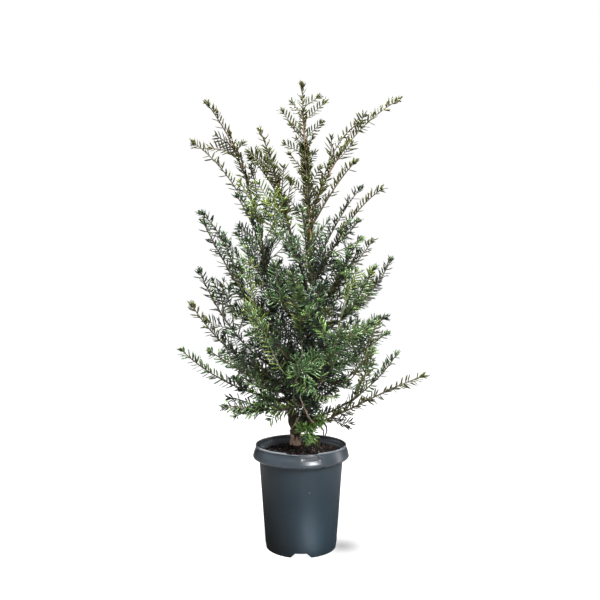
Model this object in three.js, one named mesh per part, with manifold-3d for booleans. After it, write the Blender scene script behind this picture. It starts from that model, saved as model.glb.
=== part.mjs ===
// A young English yew (Taxus baccata) in a seven-litre nursery pot, as a three.js scene graph.
// Millimetres, +Z up. The origin is on the ground under the middle of the pot, and -Y is the front.
//
// The plant is a whole trunk, a second stem, bare boughs and masses of foliage. Each bough is one tapering
// limb that ends where it enters its mass. Each mass is one solid: leafy shoots that branch by a seeded
// rule from one stem, every shoot a toothed blade whose teeth stand for needles.

import * as THREE from "three";
import { mergeVertices } from "three/addons/utils/BufferGeometryUtils.js";
import Module from "manifold-3d";

const wasm = await Module();
wasm.setup();

// ---------------------------------------------------------------- driving dimensions

const CLEARANCE = 0.3; // between neighbouring solids

const POT = {
  height: 255,
  lipRadius: 113.5, // outside of the lip
  lipWidth: 8,
  skirtRadius: 120, // lower edge of the folded rim
  skirtHeight: 35,
  footRadius: 88,
  wallTopRadius: 106.5, // where the wall meets the lip
  wall: 2.2,
  floorHeight: 12,
  sides: 40,
};
const NOTCH = { count: 4, footWidth: 54, topWidth: 30, height: POT.floorHeight };
const SOIL = { edgeHeight: 233, moundHeight: 243, moundRadius: 38 };

const TRUNK = { footRadius: 14, tipRadius: 3.4, taper: 1.6, flare: 6, flareHeight: 14, sides: 12 };
const STEM_TIP = 2.1; // radius of a bough where its foliage begins
const SHOOT_TIP = 0.8;

const NEEDLE = { length: 26, step: 18.5, forward: 52, lift: 22 }; // millimetres and degrees
const SIDE_SHOOT = { step: 52, angle: 48, longest: 112, shortest: 46, bareRoot: 14, room: 22 };
const OPEN_TOP = { from: 660, to: 1100, least: 0.22 }; // side shoots grow fewer and shorter up this height

// The trunk's line, from a little under its flat cut at the soil to the foot of the leading shoot.
const trunkLine = new THREE.CatmullRomCurve3([
  new THREE.Vector3(-17, 5, SOIL.moundHeight - 8),
  new THREE.Vector3(-8, 6, 290),
  new THREE.Vector3(15, 6, 338),
  new THREE.Vector3(25, 4, 410),
  new THREE.Vector3(30, 2, 540),
  new THREE.Vector3(27, 0, 720),
  new THREE.Vector3(16, 0, 905),
]);

// Boughs, lowest first on each side. rise: height where it leaves the trunk or the second stem. compass:
// degrees seen from above, 0 to the right, 90 to the back. reach and top: how far out from the pot's axis,
// and how high, its tip stands. leave and arrive: its slope in degrees at the root and at the tip. bare:
// the share of its length with no foliage, and 0 for a shoot that is leafy from the trunk out. forks: more
// leading shoots, from the share `at` of its length. single: it bears no side shoots.
const BOUGHS = [
  { name: "second_stem", rise: 285, compass: 185, reach: 236, top: 1108, leave: 72, arrive: 52, bare: 0.56,
    forks: [{ at: 0.57, compass: 193, reach: 267, top: 998, leave: 66, arrive: 32 }] },
  { name: "left_skirt", on: "second_stem", rise: 340, compass: 197, reach: 196, top: 355,
    leave: 2, arrive: 8, bare: 0.26, forks: [{ at: 0.34, compass: 184, reach: 183, top: 372, leave: 10, arrive: 2 }] },
  { name: "left_low", on: "second_stem", rise: 360, compass: 187, reach: 296, top: 492,
    leave: 9, arrive: 45, bare: 0.26, forks: [{ at: 0.36, compass: 213, reach: 186, top: 430, leave: 12, arrive: 42 }] },
  { name: "left_low_front", on: "second_stem", rise: 382, compass: 211, reach: 246, top: 497,
    leave: 22, arrive: 34, bare: 0.22 },
  { name: "left_wide", on: "second_stem", rise: 404, compass: 193, reach: 272, top: 604,
    leave: 22, arrive: 58, bare: 0.25 },
  { name: "left_middle", on: "second_stem", rise: 440, compass: 200, reach: 258, top: 686,
    leave: 20, arrive: 66, bare: 0.22 },
  { name: "left_shoulder", on: "second_stem", rise: 538, compass: 206, reach: 255, top: 798,
    leave: 38, arrive: 60, bare: 0.24, forks: [{ at: 0.34, compass: 194, reach: 250, top: 827, leave: 62, arrive: 38 }] },
  { name: "left_upper", on: "second_stem", rise: 672, compass: 211, reach: 177, top: 862,
    leave: 74, arrive: 42, bare: 0 },
  { name: "left_inner", rise: 606, compass: 155, reach: 118, top: 1060, leave: 68, arrive: 66, bare: 0.22,
    forks: [{ at: 0.42, compass: 196, reach: 129, top: 968, leave: 74, arrive: 38 }] },
  { name: "right_skirt", rise: 290, compass: 348, reach: 302, top: 431, leave: 16, arrive: 20, bare: 0.2 },
  { name: "right_low", rise: 312, compass: 358, reach: 240, top: 480, leave: 10, arrive: 58, bare: 0.26,
    forks: [{ at: 0.5, compass: 14, reach: 191, top: 482, leave: 60, arrive: 78 }] },
  { name: "right_wide_back", rise: 395, compass: 11, reach: 226, top: 530, leave: 30, arrive: 34, bare: 0.22 },
  { name: "right_wide", rise: 445, compass: 347, reach: 215, top: 573, leave: 30, arrive: 26, bare: 0.22 },
  { name: "right_middle", rise: 522, compass: 1, reach: 227, top: 718, leave: 28, arrive: 66, bare: 0.22,
    forks: [{ at: 0.3, compass: 342, reach: 188, top: 695, leave: 36, arrive: 55 }] },
  { name: "right_shoulder", rise: 580, compass: 19, reach: 199, top: 775, leave: 48, arrive: 54, bare: 0.22,
    forks: [{ at: 0.34, compass: 352, reach: 152, top: 771, leave: 56, arrive: 44 }] },
  { name: "right_upper", rise: 655, compass: 349, reach: 203, top: 890, leave: 58, arrive: 32, bare: 0.22,
    forks: [{ at: 0.36, compass: 331, reach: 158, top: 806, leave: 34, arrive: 42 }] },
  { name: "right_upper_back", rise: 690, compass: 17, reach: 160, top: 908, leave: 62, arrive: 50, bare: 0 },
  { name: "right_upper_front", rise: 795, compass: 334, reach: 145, top: 950, leave: 56, arrive: 40, bare: 0 },
  { name: "right_top", rise: 812, compass: 6, reach: 250, top: 1131, leave: 76, arrive: 30, bare: 0.14,
    forks: [{ at: 0.18, compass: 354, reach: 145, top: 1061, leave: 76, arrive: 32 }] },
  { name: "front_foot", rise: 318, compass: 296, reach: 80, top: 274, leave: 4, arrive: -46, bare: 0, single: true },
  { name: "front_low", rise: 385, compass: 276, reach: 218, top: 432, leave: 12, arrive: 24, bare: 0.24 },
  { name: "front_left", rise: 425, compass: 236, reach: 214, top: 598, leave: 32, arrive: 52, bare: 0.22 },
  { name: "front_right", rise: 470, compass: 303, reach: 204, top: 566, leave: 26, arrive: 32, bare: 0.24 },
  { name: "front_middle", rise: 540, compass: 262, reach: 150, top: 684, leave: 38, arrive: 72, bare: 0.2 },
  { name: "front_upper", rise: 640, compass: 272, reach: 100, top: 830, leave: 52, arrive: 66, bare: 0 },
  { name: "back_low_left", rise: 365, compass: 141, reach: 256, top: 455, leave: 18, arrive: 34, bare: 0.24 },
  { name: "back_low_right", rise: 350, compass: 47, reach: 262, top: 442, leave: 16, arrive: 30, bare: 0.24 },
  { name: "back_middle", rise: 430, compass: 95, reach: 216, top: 600, leave: 26, arrive: 54, bare: 0.26 },
  { name: "back_left", rise: 515, compass: 132, reach: 212, top: 745, leave: 38, arrive: 54, bare: 0.22 },
  { name: "back_right", rise: 545, compass: 57, reach: 204, top: 694, leave: 34, arrive: 50, bare: 0.22 },
  { name: "back_top", rise: 735, compass: 88, reach: 112, top: 960, leave: 58, arrive: 56, bare: 0 },
];
const LEADER = { name: "leader", tip: new THREE.Vector3(3, 0, 1160), sideStep: 25 };

// ---------------------------------------------------------------- helpers

const UP = new THREE.Vector3(0, 0, 1);

/** A number from 0 to 1 that depends on k alone: the seeded chance behind every branching choice. */
function chance(k) {
  const x = Math.sin(k * 12.9898) * 43758.5453;
  return x - Math.floor(x);
}

/** A unit vector at a compass angle and a slope, both in degrees. */
function heading(compass, slope) {
  const a = THREE.MathUtils.degToRad(compass);
  const s = THREE.MathUtils.degToRad(slope);
  return new THREE.Vector3(Math.cos(a) * Math.cos(s), Math.sin(a) * Math.cos(s), Math.sin(s));
}

/** The point of a rising curve at a given height. */
function pointAtHeight(curve, height) {
  let [low, high] = [0, 1];
  for (let i = 0; i < 40; i += 1) {
    const middle = (low + high) / 2;
    if (curve.getPoint(middle).z < height) low = middle;
    else high = middle;
  }
  return curve.getPoint(low);
}

/** A limb's line from a start to a tip, with its slope given at both ends. */
function limbLine(start, tip, leave, arrive) {
  const span = tip.clone().sub(start);
  const compass = THREE.MathUtils.radToDeg(Math.atan2(span.y, span.x));
  const third = span.length() / 3;
  return new THREE.CubicBezierCurve3(
    start,
    start.clone().addScaledVector(heading(compass, leave), third),
    tip.clone().addScaledVector(heading(compass, arrive), -third),
    tip,
  );
}

function tipOf({ compass, reach, top }) {
  return heading(compass, 0).multiplyScalar(reach).setZ(top);
}

/** A closed BufferGeometry as a manifold-3d solid, its shared vertices merged and flat triangles dropped. */
function solid(geometry) {
  const bare = new THREE.BufferGeometry().setAttribute("position", geometry.getAttribute("position"));
  bare.setIndex(geometry.getIndex());
  const merged = mergeVertices(bare, 1e-4);
  const index = merged.getIndex().array;
  const kept = [];
  for (let i = 0; i < index.length; i += 3) {
    const [a, b, c] = [index[i], index[i + 1], index[i + 2]];
    if (a !== b && b !== c && c !== a) kept.push(a, b, c);
  }
  const vertProperties = new Float32Array(merged.getAttribute("position").array);
  return new wasm.Manifold(new wasm.Mesh({ numProp: 3, vertProperties, triVerts: new Uint32Array(kept) }));
}

/** A manifold-3d solid as a named three.js mesh. */
function meshOf(name, shape, material) {
  const data = shape.getMesh();
  const geometry = new THREE.BufferGeometry();
  geometry.setAttribute("position", new THREE.BufferAttribute(new Float32Array(data.vertProperties), 3));
  geometry.setIndex(new THREE.BufferAttribute(new Uint32Array(data.triVerts), 1));
  geometry.computeVertexNormals();
  const mesh = new THREE.Mesh(geometry, material);
  mesh.name = name;
  return mesh;
}

/** The largest separate body of a solid: what a cut leaves behind on the far side is dropped. */
function mainBody(shape) {
  return shape.decompose().sort((a, b) => b.volume() - a.volume())[0];
}

/** A round limb along the stretch [from, to] of a curve. radius(share, turn) gives its size at each point. */
function limb(curve, from, to, sides, rings, radius) {
  const geometry = new THREE.CylinderGeometry(1, 1, 1, sides, rings);
  const position = geometry.getAttribute("position");
  for (let i = 0; i < position.count; i += 1) {
    const share = position.getY(i) + 0.5;
    const t = from + (to - from) * share;
    const centre = curve.getPoint(t);
    const along = curve.getTangent(t);
    const side = new THREE.Vector3(0, 1, 0.01).cross(along).normalize();
    const across = side.clone().cross(along);
    const rim = Math.hypot(position.getX(i), position.getZ(i));
    const turn = Math.atan2(position.getX(i), position.getZ(i));
    const size = rim > 0.5 ? radius(share, turn) : 0;
    const spot = centre.addScaledVector(side, Math.cos(turn) * size);
    spot.addScaledVector(across, -Math.sin(turn) * size);
    position.setXYZ(i, spot.x, spot.y, spot.z);
  }
  return solid(geometry);
}

/** Revolves a closed profile of [radius, height] pairs about +Z. */
function turned(profile, sides) {
  const points = profile.map(([r, z]) => new THREE.Vector2(r, z));
  return solid(new THREE.LatheGeometry(points, sides).rotateX(Math.PI / 2));
}

// ---------------------------------------------------------------- pot and soil

/** Outside radius of the pot's straight wall at a height. */
function wallRadius(z) {
  return POT.footRadius + ((POT.wallTopRadius - POT.footRadius) * z) / POT.height;
}

/** The tapered bucket with its raised floor, and the rim folded outward and down into a skirt. */
function potSolid() {
  const { height, wall, floorHeight, lipRadius, lipWidth, skirtRadius, skirtHeight } = POT;
  const inner = (z) => wallRadius(z) - wall;
  const skirtFoot = height - skirtHeight;
  const under = height - wall; // underside of the lip
  const profile = [
    [0, floorHeight],
    [inner(floorHeight) - 6, floorHeight],
    [inner(0) - 1.5, 0],
    [wallRadius(0), 0],
    [wallRadius(under), under],
    [lipRadius - wall, under],
    [skirtRadius - wall, skirtFoot],
    [skirtRadius, skirtFoot],
    [lipRadius, height - 1.5],
    [lipRadius - 1.2, height],
    [lipRadius - lipWidth, height],
    [inner(height - 12), height - 12],
    [inner(floorHeight + wall), floorHeight + wall],
    [0, floorHeight + wall],
  ];
  const bucket = turned(profile, POT.sides);
  return Array.from({ length: NOTCH.count }, (_, i) => notchCutter(i)).reduce((a, b) => a.subtract(b), bucket);
}

/** A drainage notch: a trapezium pushed in through the foot of the wall. */
function notchCutter(i) {
  const { footWidth, topWidth, height } = NOTCH;
  const depth = 16;
  const outline = new THREE.Shape([
    new THREE.Vector2(-footWidth / 2, -1),
    new THREE.Vector2(footWidth / 2, -1),
    new THREE.Vector2(topWidth / 2, height - 0.5),
    new THREE.Vector2(-topWidth / 2, height - 0.5),
  ]);
  const cutter = new THREE.ExtrudeGeometry(outline, { depth, bevelEnabled: false });
  cutter.rotateX(Math.PI / 2).translate(0, -(POT.footRadius - depth + 4), 0);
  return solid(cutter.rotateZ((i / NOTCH.count) * 2 * Math.PI));
}

/** Compost filling the pot, heaped a little towards the trunk, which stands on its flat middle. */
function soilSolid() {
  const inner = (z) => wallRadius(z) - POT.wall - CLEARANCE;
  const floor = POT.floorHeight + POT.wall + CLEARANCE;
  const { edgeHeight, moundHeight, moundRadius } = SOIL;
  const profile = [
    [0, floor],
    [inner(floor), floor],
    [inner(edgeHeight), edgeHeight],
    [moundRadius * 1.9, edgeHeight + 6],
    [moundRadius, moundHeight - CLEARANCE],
    [0, moundHeight - CLEARANCE],
  ];
  return turned(profile, POT.sides);
}

// ---------------------------------------------------------------- limbs

/** Trunk radius: a long taper, and at its foot a flare with three root lobes. */
function trunkRadius(share, turn) {
  const { footRadius, tipRadius, taper, flare, flareHeight } = TRUNK;
  const height = Math.max(0, share * trunkLine.getLength() - 8);
  const spread = flare * Math.exp(-height / flareHeight) * (1 + 0.35 * Math.cos(3 * turn + 1));
  return tipRadius + (footRadius - tipRadius) * (1 - share) ** taper + spread;
}

function trunkSolid(extra) {
  const whole = limb(trunkLine, 0, 1, TRUNK.sides, 18, (share, turn) => trunkRadius(share, turn) + extra);
  return whole.trimByPlane([0, 0, 1], SOIL.moundHeight);
}

/** A bough's radius at its root, which grows with the length that it carries. */
function rootRadius(bough) {
  const reach = bough.line.getLength();
  return bough.name === "second_stem" ? 9.5 : 1.9 + 0.0105 * reach;
}

function boughRadius(bough, extra) {
  const root = rootRadius(bough);
  return (share) => STEM_TIP + (root - STEM_TIP) * (1 - share) ** 0.8 + extra;
}

// ---------------------------------------------------------------- shoots

/** Adds the lines of every bough, and of its forks, to its row. */
function layOut(boughs) {
  const lines = { trunk: trunkLine };
  boughs.forEach((bough) => {
    const start = pointAtHeight(lines[bough.on ?? "trunk"], bough.rise);
    bough.line = limbLine(start, tipOf(bough), bough.leave, bough.arrive);
    lines[bough.name] = bough.line;
  });
}

/** The direction that a shoot's upper side faces: square to it, and turned about it by a roll in degrees. */
function upperSide(along, roll) {
  const face = UP.clone().addScaledVector(along, -UP.dot(along));
  if (face.length() < 0.2) face.set(0, -1, 0);
  return face.normalize().applyAxisAngle(along, THREE.MathUtils.degToRad(roll));
}

/** A leading shoot: the stretch of a line that carries needles from the share `from` to its tip. */
function leadingShoot(line, from, root, roll) {
  const middle = line.getTangent((1 + from) / 2);
  return { line, from, root, face: upperSide(middle, roll), length: line.getLength() * (1 - from) };
}

/** How full of side shoots the plant is at a height: 1 low down, and much less in its open top. */
function fullness(z) {
  const { from, to, least } = OPEN_TOP;
  return 1 - (1 - least) * THREE.MathUtils.clamp((z - from) / (to - from), 0, 1);
}

/** Side shoot k of a parent shoot: alternately left and right, shorter towards the parent's tip. */
function sideShoot(parent, k, count, seed) {
  const share = (k + 0.6) / (count + 0.5);
  const t = parent.from + (1 - parent.from) * share * 0.82;
  const start = parent.line.getPoint(t);
  const along = parent.line.getTangent(t);
  const out = along.clone().cross(parent.face).normalize().multiplyScalar(k % 2 ? -1 : 1);
  const tilt = (chance(seed + k) - 0.5) * 110;
  out.applyAxisAngle(along, THREE.MathUtils.degToRad(tilt));
  const angle = THREE.MathUtils.degToRad(SIDE_SHOOT.angle + 16 * (chance(seed + k + 31) - 0.5));
  const run = along.clone().multiplyScalar(Math.cos(angle)).addScaledVector(out, Math.sin(angle));
  const { longest, shortest } = SIDE_SHOOT;
  const size = (0.8 + 0.4 * chance(seed + k + 67)) * (0.55 + 0.45 * fullness(start.z));
  const length = (shortest + (longest - shortest) * (1 - share)) * size;
  const line = new THREE.QuadraticBezierCurve3(
    start.clone().addScaledVector(run, -0.3),
    start.clone().addScaledVector(run, length * 0.55),
    start.clone().addScaledVector(run, length * 0.94).addScaledVector(UP, length * 0.16),
  );
  const roll = (chance(seed + k + 97) - 0.5) * 60;
  return { line, from: 0, root: 1, face: upperSide(run, roll), length, bareRoot: SIDE_SHOOT.bareRoot };
}

/** Points along a line about `step` apart, from the share `from` to the tip. */
function samples(line, from, to, step) {
  const count = Math.max(2, Math.ceil((line.getLength() * (to - from)) / step));
  return Array.from({ length: count + 1 }, (_, i) => line.getPoint(from + ((to - from) * i) / count));
}

/** The least distance between two lists of points. */
function apart(some, others) {
  let least = Infinity;
  for (const a of some) for (const b of others) least = Math.min(least, a.distanceToSquared(b));
  return Math.sqrt(least);
}

/** Gives every mass its leading shoots, and then side shoots in turn where the room for them is free. */
function growMasses(boughs) {
  const limbs = [
    { owner: "trunk", points: samples(trunkLine, 0, 1, 8) },
    ...boughs.filter((b) => b.bare > 0).map((b) => ({ owner: b.name, points: samples(b.line, 0, b.bare, 8) })),
  ];
  const masses = boughs.map((bough, i) => {
    const from = bough.bare > 0 ? bough.bare + CLEARANCE / bough.line.getLength() : 0;
    const root = bough.bare > 0 ? STEM_TIP : 2;
    const stem = leadingShoot(bough.line, from, root, (chance(i + 5) - 0.5) * 90);
    stem.single = bough.single;
    const forks = (bough.forks ?? []).map((fork, j) => {
      const start = bough.line.getPoint(fork.at);
      const line = limbLine(start, tipOf(fork), fork.leave, fork.arrive);
      return leadingShoot(line, 0, 1.7, (chance(i + j + 55) - 0.5) * 90);
    });
    return { name: bough.name, bough, shoots: [stem, ...forks], seed: 100 * (i + 1) };
  });
  masses.push(leaderMass());
  const taken = masses.flatMap((mass) =>
    mass.shoots.map((shoot) => ({ owner: mass.name, of: shoot, points: samples(shoot.line, shoot.from, 1, 8) })),
  );
  const most = Math.max(...masses.map((mass) => sideCount(mass.shoots[0])));
  for (let k = 0; k < most; k += 1) {
    masses.forEach((mass) => {
      mass.shoots.filter((shoot) => !shoot.isSide).forEach((parent, p) => {
        const count = sideCount(parent);
        if (k >= count) return;
        const shoot = { ...sideShoot(parent, k, count, mass.seed + 17 * p), isSide: true };
        if (mass.name !== LEADER.name && chance(mass.seed + k + 13) > fullness(shoot.line.v0.z)) return;
        const points = samples(shoot.line, 0, 1, 8);
        const outer = points.slice(2);
        const near = [...limbs, ...taken].filter((other) => other.owner !== mass.name || limbs.includes(other));
        if (near.some((other) => apart(outer, other.points) < SIDE_SHOOT.room)) return;
        mass.shoots.push(shoot);
        taken.push({ owner: mass.name, of: shoot, points });
      });
    });
  }
  return { masses, limbs, taken };
}

function sideCount(shoot) {
  if (shoot.single) return 0;
  return Math.floor(shoot.length / (shoot.sideStep ?? SIDE_SHOOT.step));
}

/** The leading shoot on top of the trunk, whose short side shoots stand close together. */
function leaderMass() {
  const start = trunkLine.getPoint(1);
  start.z += CLEARANCE;
  const line = limbLine(start, LEADER.tip, 92, 90);
  line.v1.copy(start).addScaledVector(trunkLine.getTangent(1), 80);
  line.v2.copy(LEADER.tip).add(new THREE.Vector3(1, 0, -80));
  const stem = leadingShoot(line, 0, TRUNK.tipRadius - 0.4, 0);
  stem.sideStep = LEADER.sideStep;
  return { name: LEADER.name, shoots: [stem], seed: 9000 };
}

// ---------------------------------------------------------------- needles

/** Whether a needle's tip keeps to its own shoot's space. It must be nearer to its root than to any other
 *  mass or limb, and not reach far in among the other shoots of its own mass. */
function inOwnSpace(tip, root, shoot, mass, limbs, taken) {
  const own = tip.distanceTo(root);
  const isClear = (points, limit) => points.every((p) => p.distanceTo(tip) > limit);
  return (
    limbs.every(({ points }) => isClear(points, own * 0.72 + 2)) &&
    taken.every(({ owner, of, points }) => of === shoot || isClear(points, own * (owner === mass.name ? 0.55 : 0.85)))
  );
}

/** A shoot as one closed toothed blade. Its twig is three-sided, and each tooth is a needle that grows from
 *  the twig's edge with a ridge from its top. keep(tip, root) says which needles stay. */
function blade(shoot, keep) {
  const { line, from, root, face, length, bareRoot = 0 } = shoot;
  const stations = Math.max(2, Math.round(length / NEEDLE.step));
  const forward = THREE.MathUtils.degToRad(NEEDLE.forward);
  const lift = THREE.MathUtils.degToRad(NEEDLE.lift);
  const vertices = [];
  const triangles = [];
  const add = (p) => vertices.push(p.x, p.y, p.z) / 3 - 1;
  const rings = Array.from({ length: stations + 1 }, (_, j) => {
    const t = from + ((1 - from) * j) / stations;
    const along = line.getTangent(t);
    const top = face.clone().addScaledVector(along, -face.dot(along)).normalize();
    const right = along.clone().cross(top);
    const half = root + (SHOOT_TIP - root) * (j / stations);
    const centre = line.getPoint(t);
    const corner = (side, up) =>
      add(centre.clone().addScaledVector(right, side * half).addScaledVector(top, up * half));
    return { centre, along, top, right, ids: [corner(0, 1), corner(0.9, -0.6), corner(-0.9, -0.6)] };
  });
  rings.slice(0, -1).forEach((here, j) => {
    const next = rings[j + 1].ids;
    const share = j / stations;
    const reach = NEEDLE.length * (0.78 + 0.3 * Math.sin(Math.PI * Math.min(1, share + 0.15)));
    const [top, right, left] = here.ids;
    triangles.push(right, left, next[2], right, next[2], next[1]);
    [1, -1].forEach((side) => {
      const [edge, nextEdge] = side > 0 ? [right, next[1]] : [left, next[2]];
      const face3 = (a, b, c) => triangles.push(...(side > 0 ? [a, b, c] : [a, c, b]));
      const out = here.right.clone().multiplyScalar(side * Math.cos(lift)).addScaledVector(here.top, Math.sin(lift));
      const tip = here.centre.clone().addScaledVector(here.along, reach * Math.cos(forward));
      tip.addScaledVector(out, reach * Math.sin(forward));
      face3(top, nextEdge, next[0]);
      if (share * length < bareRoot || !keep(tip, here.centre)) {
        face3(top, edge, nextEdge);
        return;
      }
      const point = add(tip);
      face3(top, edge, point);
      face3(top, point, nextEdge);
      face3(edge, nextEdge, point);
    });
  });
  const [top, right, left] = rings[0].ids;
  triangles.push(top, left, right);
  const last = rings[stations];
  const end = add(last.centre.clone().addScaledVector(last.along, NEEDLE.length * 0.45));
  triangles.push(last.ids[0], last.ids[1], end, last.ids[1], last.ids[2], end, last.ids[2], last.ids[0], end);
  const geometry = new THREE.BufferGeometry();
  geometry.setAttribute("position", new THREE.BufferAttribute(new Float32Array(vertices), 3));
  geometry.setIndex(triangles);
  return solid(geometry);
}

// ---------------------------------------------------------------- assembly

const material = (color, roughness) => new THREE.MeshStandardMaterial({ color, roughness, metalness: 0 });
const finishes = {
  pot: material(0x4a545c, 0.45),
  soil: material(0x2b1d15, 0.95),
  bark: material(0x6b4a3a, 0.85),
  needles: material(0x2f4a26, 0.5),
};

layOut(BOUGHS);
const { masses, limbs, taken } = growMasses(BOUGHS);
const yew = new THREE.Group();
yew.name = "english_yew";

yew.add(meshOf("pot", potSolid(), finishes.pot));
yew.add(meshOf("soil", soilSolid(), finishes.soil));
const trunk = trunkSolid(0);
yew.add(meshOf("trunk", trunk, finishes.bark));

// What each bough or shoot leaves from, a clearance larger all round, to cut its root to.
const sockets = { trunk: trunkSolid(CLEARANCE) };
BOUGHS.filter((bough) => bough.bare > 0).forEach((bough) => {
  const isStem = bough.name === "second_stem";
  const [sides, rings] = isStem ? [8, 12] : [6, 4];
  const make = (extra) => limb(bough.line, 0, bough.bare, sides, rings, boughRadius(bough, extra));
  const shape = mainBody(make(0).subtract(sockets[bough.on ?? "trunk"]));
  if (isStem) sockets[bough.name] = make(CLEARANCE);
  yew.add(meshOf(isStem ? bough.name : `bough_${bough.name}`, shape, finishes.bark));
});

masses.forEach((mass) => {
  const blades = mass.shoots.map((shoot) =>
    blade(shoot, (tip, root) => inOwnSpace(tip, root, shoot, mass, limbs, taken)),
  );
  let shape = blades.reduce((whole, next) => whole.add(next));
  if (mass.bough && !mass.bough.bare) shape = shape.subtract(sockets[mass.bough.on ?? "trunk"]);
  yew.add(meshOf(`foliage_${mass.name}`, mainBody(shape), finishes.needles));
});

export default yew;
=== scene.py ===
# %% [markdown]
# # A young English yew in its nursery pot
#
# The plant stands 1.17 m high in a seven-litre pot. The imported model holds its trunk, its boughs and a
# toothed blade for every large shoot. This lesson dresses them: bark with relief, fine twigs, some
# fifteen thousand needles, damp compost and a slightly bruised plastic pot. Every shape is a numpy
# formula in millimetres, turned into metres only when it becomes a mesh.

import bpy
import numpy as np
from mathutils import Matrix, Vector


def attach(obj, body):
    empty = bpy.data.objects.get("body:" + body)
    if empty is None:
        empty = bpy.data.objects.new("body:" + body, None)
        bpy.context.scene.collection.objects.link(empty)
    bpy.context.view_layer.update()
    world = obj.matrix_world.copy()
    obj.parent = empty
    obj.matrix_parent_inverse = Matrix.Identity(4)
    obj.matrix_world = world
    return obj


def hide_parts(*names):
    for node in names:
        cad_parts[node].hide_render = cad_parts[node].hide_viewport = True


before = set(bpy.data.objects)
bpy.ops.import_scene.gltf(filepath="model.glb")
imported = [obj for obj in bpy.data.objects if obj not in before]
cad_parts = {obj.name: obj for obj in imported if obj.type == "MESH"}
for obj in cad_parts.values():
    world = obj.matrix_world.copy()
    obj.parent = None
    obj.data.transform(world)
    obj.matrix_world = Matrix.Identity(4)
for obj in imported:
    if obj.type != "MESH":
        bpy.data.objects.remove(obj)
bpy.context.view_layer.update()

METRE = 0.001  # one millimetre, in Blender's metres


# %% [markdown]
# ## Camera, light and surroundings
#
# A catalogue picture of a plant is taken level, from a step and a half away, with the camera's film
# shifted up a little so that the pot stays upright. The light is soft: a small strong lamp high above,
# weaker and larger ones round the plant, and white surroundings. The surroundings look pure white to the
# camera but light the plant less than that, so that the hollows stay dark.

# %% Camera
EYE = np.array([0.0, -1518.0, 592.0])  # the camera's place, level with the middle of the crown
FILM = 36.0  # width of the film and length of the lens: the view is as wide as it is far
FRAME_PIXELS = 600
SHIFT_PIXELS = (-1, 10)  # how far the plant's axis and the camera's level stand from the picture's middle


def stand(name, data, place=(0, 0, 0), turn=(0, 0, 0)):
    """Puts a new object with some data into the scene, at a place in metres and turned by three angles."""
    made = bpy.data.objects.new(name, data)
    made.location = place
    made.rotation_euler = turn
    bpy.context.scene.collection.objects.link(made)
    return made


camera = bpy.data.cameras.new("camera")
camera.sensor_width = camera.lens = FILM
camera.shift_x, camera.shift_y = (pixels / FRAME_PIXELS for pixels in SHIFT_PIXELS)
bpy.context.scene.camera = stand("camera", camera, EYE * METRE, (np.pi / 2, 0, 0))
print("camera:", round(-EYE[1] * METRE, 2), "m before the trunk and", round(EYE[2] * METRE, 2), "m up")

# %% Lamps
# name: (place, the point that it faces, width and height, watts, tint), in metres.
LAMPS = {
    "key": ((-0.5, -0.5, 2.9), (0, 0, 0.5), (0.40, 0.40), 255, (1, 0.985, 0.95)),
    "front_right": ((1.1, -1.85, 1.8), (0, 0, 0.45), (0.4, 0.4), 80, (1, 1, 1)),
    "strip": ((1.9, 0.35, 0.5), (0, 0, 0.2), (0.3, 0.9), 7, (0.98, 0.95, 1)),
    "back_left": ((-1.6, 1.6, 1.9), (0, 0, 0.7), (1.2, 1.2), 10, (1, 1, 1)),
    "front_fill": ((0.2, -2.7, 0.8), (0, 0, 0.4), (0.9, 0.9), 5, (1, 1, 1)),
}
BEAM_PLACE, BEAM_TARGET = (0.45, -1.5, 1.6), (0.070, -0.205, 0)
BEAM_WATTS, BEAM_ANGLE, BEAM_TINT = 4600, 0.085, (0.80, 0.92, 1.0)


def aimed(name, light, place, target):
    """Stands a light at place and turns its own -Z to the line from there to target."""
    stand(name, light, place, (Vector(target) - Vector(place)).to_track_quat("-Z", "Y").to_euler())


for name, (place, target, size, watts, tint) in LAMPS.items():
    light = bpy.data.lights.new(name, "AREA")
    light.shape = "RECTANGLE"
    light.size, light.size_y = size
    light.energy = watts
    light.color = tint
    aimed(name, light, place, target)

# A narrow beam on the floor in front: the pot's side mirrors that pool of light as a soft sheen.
beam = bpy.data.lights.new("floor_pool", "SPOT")
beam.energy = BEAM_WATTS
beam.color = BEAM_TINT
beam.spot_size = BEAM_ANGLE
beam.spot_blend = 1.0
aimed("floor_pool", beam, BEAM_PLACE, BEAM_TARGET)
print("lamps:", ", ".join(LAMPS), "and a beam")

# %% Surroundings
WHITE_SEEN, WHITE_LIGHT = 1.0, 0.055  # how bright they look to the camera, and how much they light
world = bpy.data.worlds.new("surroundings")
world.use_nodes = True
bpy.context.scene.world = world
bpy.context.scene.view_settings.view_transform = "Standard"
seen = world.node_tree.nodes.new("ShaderNodeLightPath")
strength = world.node_tree.nodes.new("ShaderNodeMapRange")
strength.inputs["To Min"].default_value = WHITE_LIGHT
strength.inputs["To Max"].default_value = WHITE_SEEN
world.node_tree.links.new(seen.outputs["Is Camera Ray"], strength.inputs["Value"])
sky = world.node_tree.nodes["Background"]
sky.inputs["Color"].default_value = (1, 1, 1, 1)
world.node_tree.links.new(strength.outputs[0], sky.inputs["Strength"])
print("surroundings:", WHITE_SEEN, "to the camera,", WHITE_LIGHT, "as light")

# %% [markdown]
# ## Materials as sums
#
# A material in Blender is a graph of nodes. Long graphs are hard to read, so here a value that changes over
# a surface is wrapped in a small class: adding, multiplying or comparing such values adds Math nodes, and
# one method adds any other kind of node.

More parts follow.
